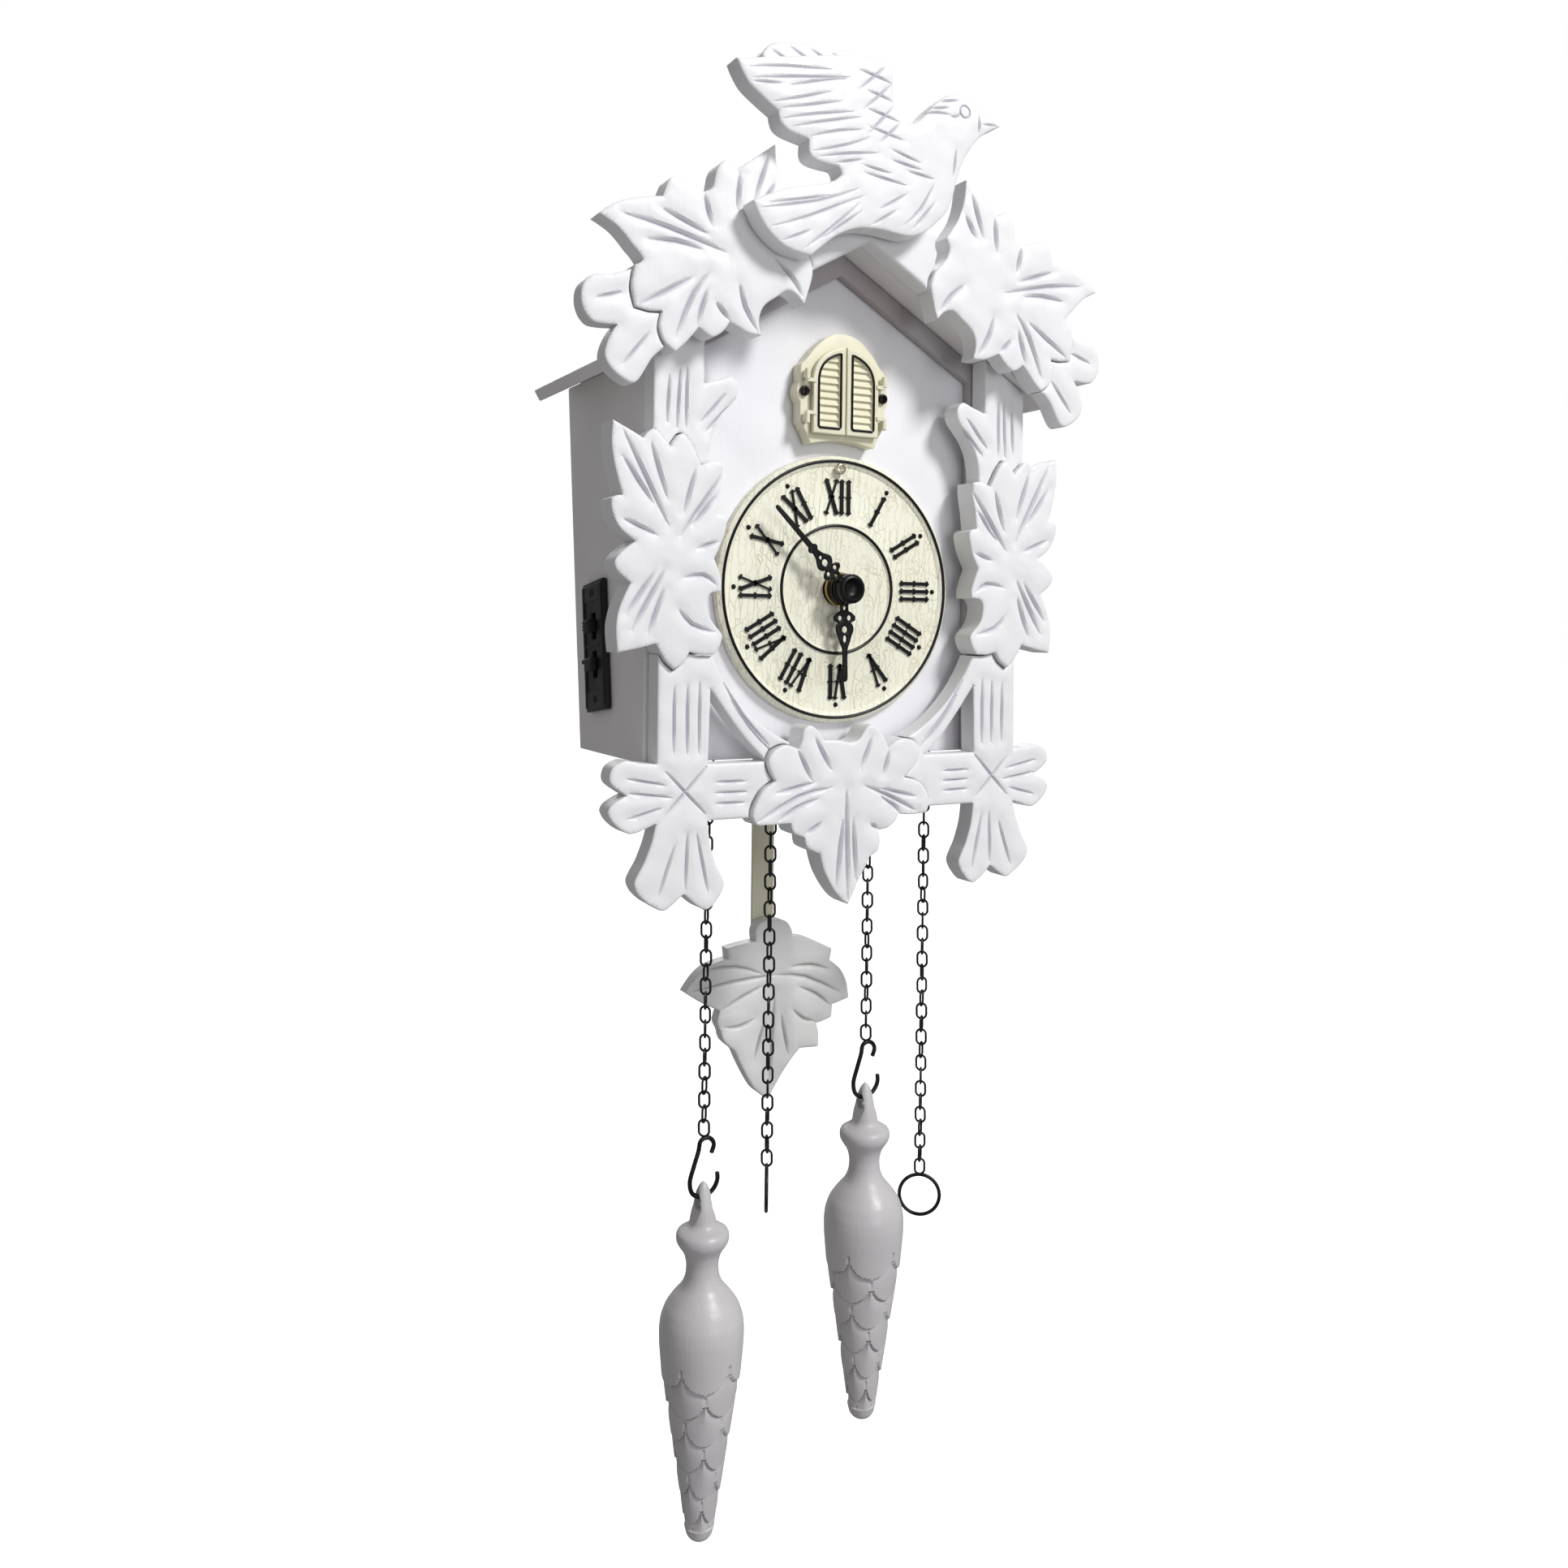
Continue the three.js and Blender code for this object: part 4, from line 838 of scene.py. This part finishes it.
def numeral(text, turn):
    width = sum(ADVANCE[c] for c in text)
    u = -width / 2
    out = []
    for letter in text:
        mid = u + ADVANCE[letter] / 2
        for foot, top, wide in STROKES[letter]:
            out.append(stroke(mid + foot, STROKE_FOOT, mid + top, STROKE_TOP, wide))
        u += ADVANCE[letter]
    c, s = math.cos(turn), math.sin(turn)
    return [[(p[0] * c + p[1] * s, -p[0] * s + p[1] * c) for p in outline] for outline in out]


def prism(outline, front, back):
    """Points and faces of a flat-faced plate of any outline."""
    count = len(outline)
    verts = [(x, y, z) for y in (front, back) for x, z in outline]
    flat, _, tris, *_ = delaunay_2d_cdt(
        [Vector(p) for p in outline], [(i, (i + 1) % count) for i in range(count)], [], 1, 1e-6)
    faces = [tuple(f) for f in tris] + [tuple(i + count for i in reversed(f)) for f in tris]
    faces += [(i, i + count, (i + 1) % count + count, (i + 1) % count) for i in range(count)]
    return verts, faces


for hour, text in enumerate(NUMERALS):
    turn = math.radians(30 * hour)
    shells = [prism(o, face - 0.55, face + 0.2) for o in numeral(text, turn)]
    merged(f"numeral_{hour or 12}", shells, BLACK, ["dial"])
    if hour:
        spot = (HOUR_DOT_AT * math.sin(turn), face, HOUR_DOT_AT * math.cos(turn))
        lathe(f"hour_dot_{hour}", HOUR_DOT, spot, "y", BLACK, ["dial"], replace=False, around=16)

MINUTE_ANGLE, HOUR_ANGLE = (math.radians(a) for a in (314.4, 178.5))   # as the CAD hands point at rest
BOSS_R, BOSS_GAP = 4.1, 0.4
MINUTE_HALF = [
    (3.2, 1.5), (4.4, 1.35), (5.4, 1.5), (5.9, 2.7), (6.8, 3.1), (7.5, 2.5), (8.0, 1.3), (8.7, 2.1),
    (10.0, 2.5), (12.4, 1.2), (13.9, 0.85), (14.5, 1.4), (15.3, 1.4), (15.9, 0.75), (22, 0.66),
    (29.6, 0.58), (30.2, 0.3),
]
HOUR_HALF = [
    (3.2, 1.5), (4.4, 1.2), (5.8, 1.2), (6.4, 2.3), (7.3, 3.3), (8.4, 3.2), (9.0, 1.9), (9.8, 2.5),
    (11.2, 2.6), (12.2, 2.2), (14.2, 1.5), (16.1, 0.75), (20, 0.7), (24.0, 0.66), (24.7, 0.3),
]


def disc_loop(u, v, r, squash=1.0, count=14):
    """A hole, drawn clockwise."""
    return [(u + r * math.cos(-a), v + r * squash * math.sin(-a)) for a in angles(count)]


MINUTE_HOLES = [disc_loop(0, 4.9, 0.55, 1.2), disc_loop(1.35, 6.8, 0.6), disc_loop(-1.35, 6.8, 0.6),
                disc_loop(0, 9.7, 0.95), disc_loop(0, 11.6, 0.5)]
HOUR_HOLES = [disc_loop(0, 5.0, 0.5, 1.2), disc_loop(1.4, 7.7, 0.7), disc_loop(-1.4, 7.7, 0.7),
              disc_loop(0, 10.8, 0.9), disc_loop(0, 13.3, 0.6, 1.7)]


def hand(name, node, half, holes, angle, bore):
    front, back = depths(node)
    c, s = math.cos(angle), math.sin(angle)
    boss = [(BOSS_R * math.sin(t), BOSS_R * math.cos(t))
            for t in np.linspace(BOSS_GAP, 2 * math.pi - BOSS_GAP, 28)]
    outline = [(w, v) for v, w in half][::-1] + boss + [(-w, v) for v, w in half]
    loops = []
    for loop, sense in ((outline[::-1], 1), *((h, -1) for h in holes + [disc_loop(0, 0, bore, 1, 24)])):
        turned = np.array([(u * c + v * s, -u * s + v * c) for u, v in loop])
        loops.append(turned if area(turned) * sense > 0 else turned[::-1])
    return relief(name, loops, front, back, BLACK, [node], step=0.5, rnd=0.22, dome=0, soft=0)


def area(loop):
    x, z = np.array(loop).T
    return float((x * np.roll(z, -1) - np.roll(x, -1) * z).sum() / 2)


hand("minute_hand_filigree", "minute_hand", MINUTE_HALF, MINUTE_HOLES, MINUTE_ANGLE, 1.6)
hand("hour_hand_filigree", "hour_hand", HOUR_HALF, HOUR_HOLES, HOUR_ANGLE, 2.6)
cap_front, cap_back = depths("hub_cap")
lathe("hub_cap_turned", [
    (0, cap_front + 1.5), (1.5, cap_front + 1.4), (2.2, cap_front + 0.9), (2.5, cap_front + 0.3),
    (2.9, cap_front), (3.4, cap_front + 0.1), (3.9, cap_front + 0.6),
    (3.9, cap_back - 0.2), (3.7, cap_back), (0, cap_back),
], (0, 0, 0), "y", BLACK, ["hub_cap"], around=64)
nut_back = depths("dial_nut")[1]
lathe("dial_nut_turned", [
    (3.8, nut_back), (3.8, nut_back - 0.9), (4.4, nut_back - 0.9),
    (4.6, nut_back - 0.7), (4.6, nut_back - 0.2), (4.5, nut_back),
], (0, 0, 0), "y", BRASS, ["dial_nut"], around=64)
bush_front, bush_back = depths("hour_hand")[1] - 0.1, nut_back - 1.1
lathe("hour_hand_bush", [(3.85, bush_front), (4.0, bush_front), (4.0, bush_back), (3.85, bush_back)],
      (0, 0, 0), "y", BLACK, ["hour_hand"], replace=False, around=64)


def screw(name, node, material):
    """A domed screw head with a cross recess."""
    lo, hi = corners(node)
    middle = local((lo + hi) / 2)
    front, back = depths(node)
    radius = (hi.x - lo.x) / 2 / MM
    loop = np.array([(middle.x + radius * math.cos(a), middle.z + radius * math.sin(a))
                     for a in angles(32)])

    def cross(points, edge):
        u, v = points[:, 0] - middle.x, points[:, 1] - middle.z
        arm = np.minimum(np.abs(u), np.abs(v)) < radius * 0.17
        near = np.hypot(u, v) < radius * 0.66
        return np.where(arm & near, (back - front) * 0.6, 0)

    return relief(name, [loop], front, back, material, [node], step=0.16, rnd=radius * 0.3, dome=0, soft=0,
                  shape=cross)


screw("dial_screw_head", "dial_screw", PALE_BRASS)
screw("module_screw_left_head", "module_screw_left", STEEL)
screw("module_screw_right_head", "module_screw_right", STEEL)

# ---- cuckoo door ----
refined("door_module", IVORY, bevel=0.45)
door_front, door_back = depths("door_left")
LOUVRE = 1.95        # from one slat to the next
DOOR_BORDER = 1.95
INLAY_AT = 1.55      # from the door's edge to the middle of the black inlay
HINGES = ((46.35, 44.9), (54.9, 56.4))   # heights of each strap and of its knuckle
KNUCKLE = [(0, -1.5), (0.55, -1.5), (0.75, -1.3), (0.75, 1.3), (0.55, 1.5), (0, 1.5)]


def louvres(points, edge):
    """Sunk slats inside a plain border."""
    slat = np.mod(points[:, 1], LOUVRE) / LOUVRE
    return np.where(edge > DOOR_BORDER, 0.25 + 0.95 * slat, 0)


for side in ("left", "right"):
    node = f"door_{side}"
    loops = front_loops(node)
    relief(f"{node}_louvred", loops, door_front, door_back, IVORY, [node], step=0.32, rnd=0.3, dome=0, soft=0,
           shape=louvres)
    loop = smoothed(loops[0], 0.5)
    ring = loop + normals(loop) * INLAY_AT
    ring = ring[edge_distance(ring, [loop]) > INLAY_AT - 0.05]
    merged(f"{node}_inlay", [tube([(x, door_front - 0.05, z) for x, z in ring], 0.34, 8)], BLACK, [node])
    sign = -1 if side == "left" else 1
    for number, (z, middle) in enumerate(HINGES):
        strap = [(sign * x, z + h) for x, h in ((9.4, -0.5), (12.3, -0.5), (12.3, 0.5), (9.4, 0.5))]
        plate = slab(strap, door_front - 0.35, door_front + 0.6, 0.12)
        merged(f"hinge_strap_{side}_{number}", [plate], IVORY, [node])
        lathe(f"hinge_knuckle_{side}_{number}", KNUCKLE, (sign * 11.95, door_front + 0.1, middle), "z",
              IVORY, [node], replace=False, around=20)

# ---- cuckoo and works ----
refined("cuckoo", BROWN, bevel=0, smooth=1)
cuckoo_lo, cuckoo_hi = corners("cuckoo")
TIP_Y, BEAK_Z = local(cuckoo_lo).y, local(cuckoo_hi).z - 3.3
lathe("cuckoo_beak", [(0, 0), (0.35, 0.15), (0.75, 1.2), (1.15, 2.6), (1.2, 3.2), (0, 3.2)],
      (0, TIP_Y, BEAK_Z), "y", YELLOW, ["cuckoo"], replace=False, around=24)
BEAD = [(0, 0.45), (0.3, 0.4), (0.5, 0.15), (0.5, -0.4), (0, -0.4)]
WING = [(7.4, -2.2), (11, -1.8), (15.6, -3.4), (17.2, -5.4), (13, -6.2), (9, -5.6)]   # from the beak's tip
for side, side_name in ((-1, "left"), (1, "right")):
    lathe(f"cuckoo_eye_{side_name}", [(radius, side * h) for radius, h in BEAD],
          (side * 2.35, TIP_Y + 3.9, BEAK_Z + 1.0), "x", BLACK, ["cuckoo"], replace=False, around=16)
    wing = [(TIP_Y + y, BEAK_Z + z) for y, z in WING]
    verts = [(side * x, y, z) for x in (3.0, 4.3) for y, z in wing]
    verts.append((side * 4.75, TIP_Y + 12, BEAK_Z - 4.0))
    count = len(wing)
    faces = [tuple(range(count))]
    faces += [(i, (i + 1) % count, count + (i + 1) % count, count + i) for i in range(count)]
    faces += [(count + i, count + (i + 1) % count, 2 * count) for i in range(count)]
    make(f"cuckoo_wing_{side_name}", verts, faces, BROWN, ["cuckoo"], replace=False, angle=60)
for node in ("movement", "pendulum_drive", "battery_tray", "speaker", "chain_carrier"):
    refined(node, MATT_BLACK, bevel=0.5)
refined("circuit_board", GREEN, bevel=0.15)
for node in ("battery_a", "battery_b"):
    refined(node, CELL, bevel=0.8)
for node in ("chain_wheel_left", "chain_wheel_right"):
    refined(node, IVORY, bevel=0.3)
for node in ("switch_plate", "switch_upper", "switch_lower"):
    refined(node, MATT_BLACK, bevel=0.3)


BLOCK_SINK = 0.2   # how far a block's foot goes into the piece that it stands on


def block(node, u, v, half_u, half_v, rise, inset=0.25):
    """Points and faces of a block with sloping sides on the outer face of a switch piece.

    u runs across the switch plate and v along it, both from the middle of the node.
    """
    lo, hi = corners(node)
    middle = local((lo + hi) / 2)
    outside = local(lo).x
    along = Vector(JOINT["switch_upper_slide"]["axis"])
    across = Vector((0, along.z, -along.y))
    verts = []
    for height, shrink in ((-BLOCK_SINK, 0), (rise - inset, 0), (rise, inset)):
        for a, b in ((-1, -1), (1, -1), (1, 1), (-1, 1)):
            spot = across * (u + a * (half_u - shrink)) + along * (v + b * (half_v - shrink))
            verts.append((outside - height, middle.y + spot.y, middle.z + spot.z))
    faces = [(0, 1, 2, 3), (8, 9, 10, 11)]
    faces += [(r + i, r + (i + 1) % 4, r + 4 + (i + 1) % 4, r + 4 + i) for r in (0, 4) for i in range(4)]
    return verts, faces


END_AT = 14.4   # from the plate's middle to the middle of each end panel
rails = [block("switch_plate", side * 6.5, 0, 0.6, 16.6, 0.45) for side in (-1, 1)]
ends = [block("switch_plate", 0, side * END_AT, 5.7, 2.3, 0.3) for side in (-1, 1)]
marks = [block("switch_plate", u, side * END_AT, 0.25, 0.9, 0.5, inset=0.1)
         for side in (-1, 1) for u in (-0.7, 0.7)]
bridge = [block("switch_plate", 0, 0.2, 5.7, 0.5, 0.3)]
merged("switch_plate_panels", rails + ends + marks + bridge, MATT_BLACK, ["switch_plate"])
ridges = [block("switch_upper", 0, v, 2.0, 0.22, 0.35, inset=0.1) for v in (-0.9, 0, 0.9)]
merged("switch_upper_ridges", ridges, MATT_BLACK, ["switch_upper"])
merged("switch_lower_bar", [block("switch_lower", 0, 0.9, 3.4, 0.6, 0.3)], MATT_BLACK, ["switch_lower"])

# ---- chains, hooks, rings and weights ----
LINK_LONG, LINK_WIDE, LINK_WIRE, LINK_PITCH = 5.0, 3.4, 0.32, 3.72
spin = random.Random(7)


def link(centre, twist):
    """One stadium-shaped link that hangs in the plane turned by twist about the vertical."""
    radius = LINK_WIDE / 2 - LINK_WIRE
    straight = LINK_LONG / 2 - LINK_WIRE - radius
    path = []
    for a in angles(24):
        u, v = radius * math.cos(a), radius * math.sin(a) + (straight if math.sin(a) > 0 else -straight)
        path.append((centre[0] + u * math.cos(twist), centre[1] + u * math.sin(twist), centre[2] + v))
    return tube(path, LINK_WIRE, 8)


def chain(name, node):
    lo, hi = corners(node)
    low, high = local(lo), local(hi)
    x, y = (low.x + high.x) / 2, (low.y + high.y) / 2
    links = []
    z = low.z + LINK_LONG / 2 - 1.0
    index = 0
    while z + LINK_LONG / 2 < high.z:
        twist = -YAW + (math.pi / 2 if index % 2 else 0) + spin.uniform(-0.4, 0.4)
        links.append(link((x, y, z), twist))
        z += LINK_PITCH
        index += 1
    return merged(name, links, STEEL, [node], replace=True)


SCALE_TOP, SCALE_ROW, SCALE_SAG = 44.5, 7.4, 6.2
SCALES_AROUND, SCALE_ROWS = 5, 7
SCALES_FROM, SCALES_TO = 43, 90   # where the scales start and stop, down from the weight's top
BORE_R, BORE_DROP = 2.1, 5.2
EYE_TO, EYE_HALF = 11.6, 1.6      # the eye is flat this far down, and this thick each way at its top
WEIGHT_PROFILE = [
    (0.0, 0.0), (0.6, 0.3), (1.3, 1.5), (2.2, 3.6), (3.1, 7.0), (3.6, 11.0), (4.0, 11.8), (5.8, 12.2),
    (6.8, 13.0), (7.1, 14.6), (6.8, 16.0), (5.8, 17.2), (4.8, 18.8), (4.2, 21.5), (4.4, 24.5),
    (5.4, 27.0), (7.6, 29.4), (9.8, 32.4), (10.9, 35.5), (11.2, 38.5), (11.1, 42.0), (10.4, 50.0),
    (8.6, 61.0), (6.7, 73.0), (5.2, 82.5), (4.0, 90.0), (3.4, 92.3), (2.4, 93.5), (1.0, 94.0),
    (0.0, 94.0),
]


def scale_cut(drop, turn):
    """How deep the cone is cut at this drop and turn, and how much painted shade falls just under a scale's
    edge.
    """
    above = None
    if SCALES_FROM < drop < SCALES_TO:
        for row in range(SCALE_ROWS):
            lap = (turn / (2 * math.pi) * SCALES_AROUND + row * 0.5) % 1 * 2 - 1
            lower = SCALE_TOP + row * SCALE_ROW + SCALE_SAG * math.sqrt(max(1 - lap * lap, 0))
            if drop < lower:
                break
            above = drop - lower
    if above is None:
        return 0.0, 0.0
    return 0.85 * math.exp(-above / 1.8) + 0.1, max(0.0, 1 - above / 0.6)


def weight(side):
    node = f"weight_{side}"
    lo, hi = corners(node)
    low, high = local(lo), local(hi)
    x, y = (low.x + high.x) / 2, (low.y + high.y) / 2
    radii, drops = np.array(WEIGHT_PROFILE).T
    steps = [np.linspace(0, 45, 70), np.linspace(45, 92, 150), np.linspace(92, 94, 8)]
    fine = np.unique(np.concatenate(steps))
    body = np.interp(fine, drops, radii)
    body[1:-1] = np.convolve(body, np.ones(3) / 3, "valid")
    body[0] = body[-1] = 0
    around = 120
    verts, marks = [], []
    for s, r in zip(fine, body):
        for k in range(around):
            a = 2 * math.pi * k / around
            cut, shade_mark = scale_cut(s, a)
            px, py = (r - cut) * math.cos(a), (r - cut) * math.sin(a)
            if s < EYE_TO:
                flat = EYE_HALF + max(0.0, s - 6.5) * 0.42
                px = max(-flat, min(flat, px))
            verts.append((x + px, y + py, high.z - s))
            marks.append(shade_mark)
    rows = len(fine)
    faces = [(i + k, i + (k + 1) % around, i + around + (k + 1) % around, i + around + k)
             for i in range(0, (rows - 1) * around, around) for k in range(around)]
    # Painted shade under each scale's edge, by the mask attribute.
    piece = make(f"{node}_turned", verts, faces, WEIGHT_PAINT, [node], attributes={"cut_shade": marks})
    with editing(piece.data) as edit:
        bmesh.ops.remove_doubles(edit, verts=edit.verts, dist=1e-6)
        bmesh.ops.dissolve_degenerate(edit, edges=edit.edges, dist=1e-7)
    bore = bpy.data.meshes.new("bore")
    lying = Matrix.Translation(world((x, y, high.z - BORE_DROP))) @ Matrix.Rotation(math.pi / 2, 4, "Y")
    with editing(bore) as edit:
        bmesh.ops.create_cone(edit, cap_ends=True, segments=24, radius1=BORE_R * MM, radius2=BORE_R * MM,
                              depth=9 * MM, matrix=lying)
    tool = linked("bore", bore)
    cutter = piece.modifiers.new("eye", "BOOLEAN")
    cutter.operation = "DIFFERENCE"
    cutter.object = tool
    cutter.solver = "EXACT"
    made = bpy.data.meshes.new_from_object(piece.evaluated_get(bpy.context.evaluated_depsgraph_get()))
    piece.modifiers.clear()
    piece.data = made
    bpy.data.objects.remove(tool)
    return piece


for side in ("left", "right"):
    chain(f"chain_{side}_weight_links", f"chain_{side}_weight_fall")
    chain(f"chain_{side}_ring_links", f"chain_{side}_ring_fall")
    refined(f"hook_{side}", STEEL, bevel=0, smooth=1)
    refined(f"ring_{side}", STEEL, bevel=0, smooth=1)
    weight(side)

# ---- floor ----
floor_mesh = bpy.data.meshes.new("floor")
REACH, DROP = 40.0, 1.1   # metres
sides = ((-REACH, -REACH), (REACH, -REACH), (REACH, REACH), (-REACH, REACH))
floor_mesh.from_pydata([(x, y, -DROP) for x, y in sides], [], [(0, 1, 2, 3)])
floor_shader = FLOOR.node_tree.nodes["Principled BSDF"]
floor_shader.inputs["Emission Color"].default_value = (1, 1, 1, 1)
floor_shader.inputs["Emission Strength"].default_value = 1.0
floor_mesh.materials.append(FLOOR)
floor = linked("floor", floor_mesh)
floor.visible_diffuse = False
floor.visible_glossy = False
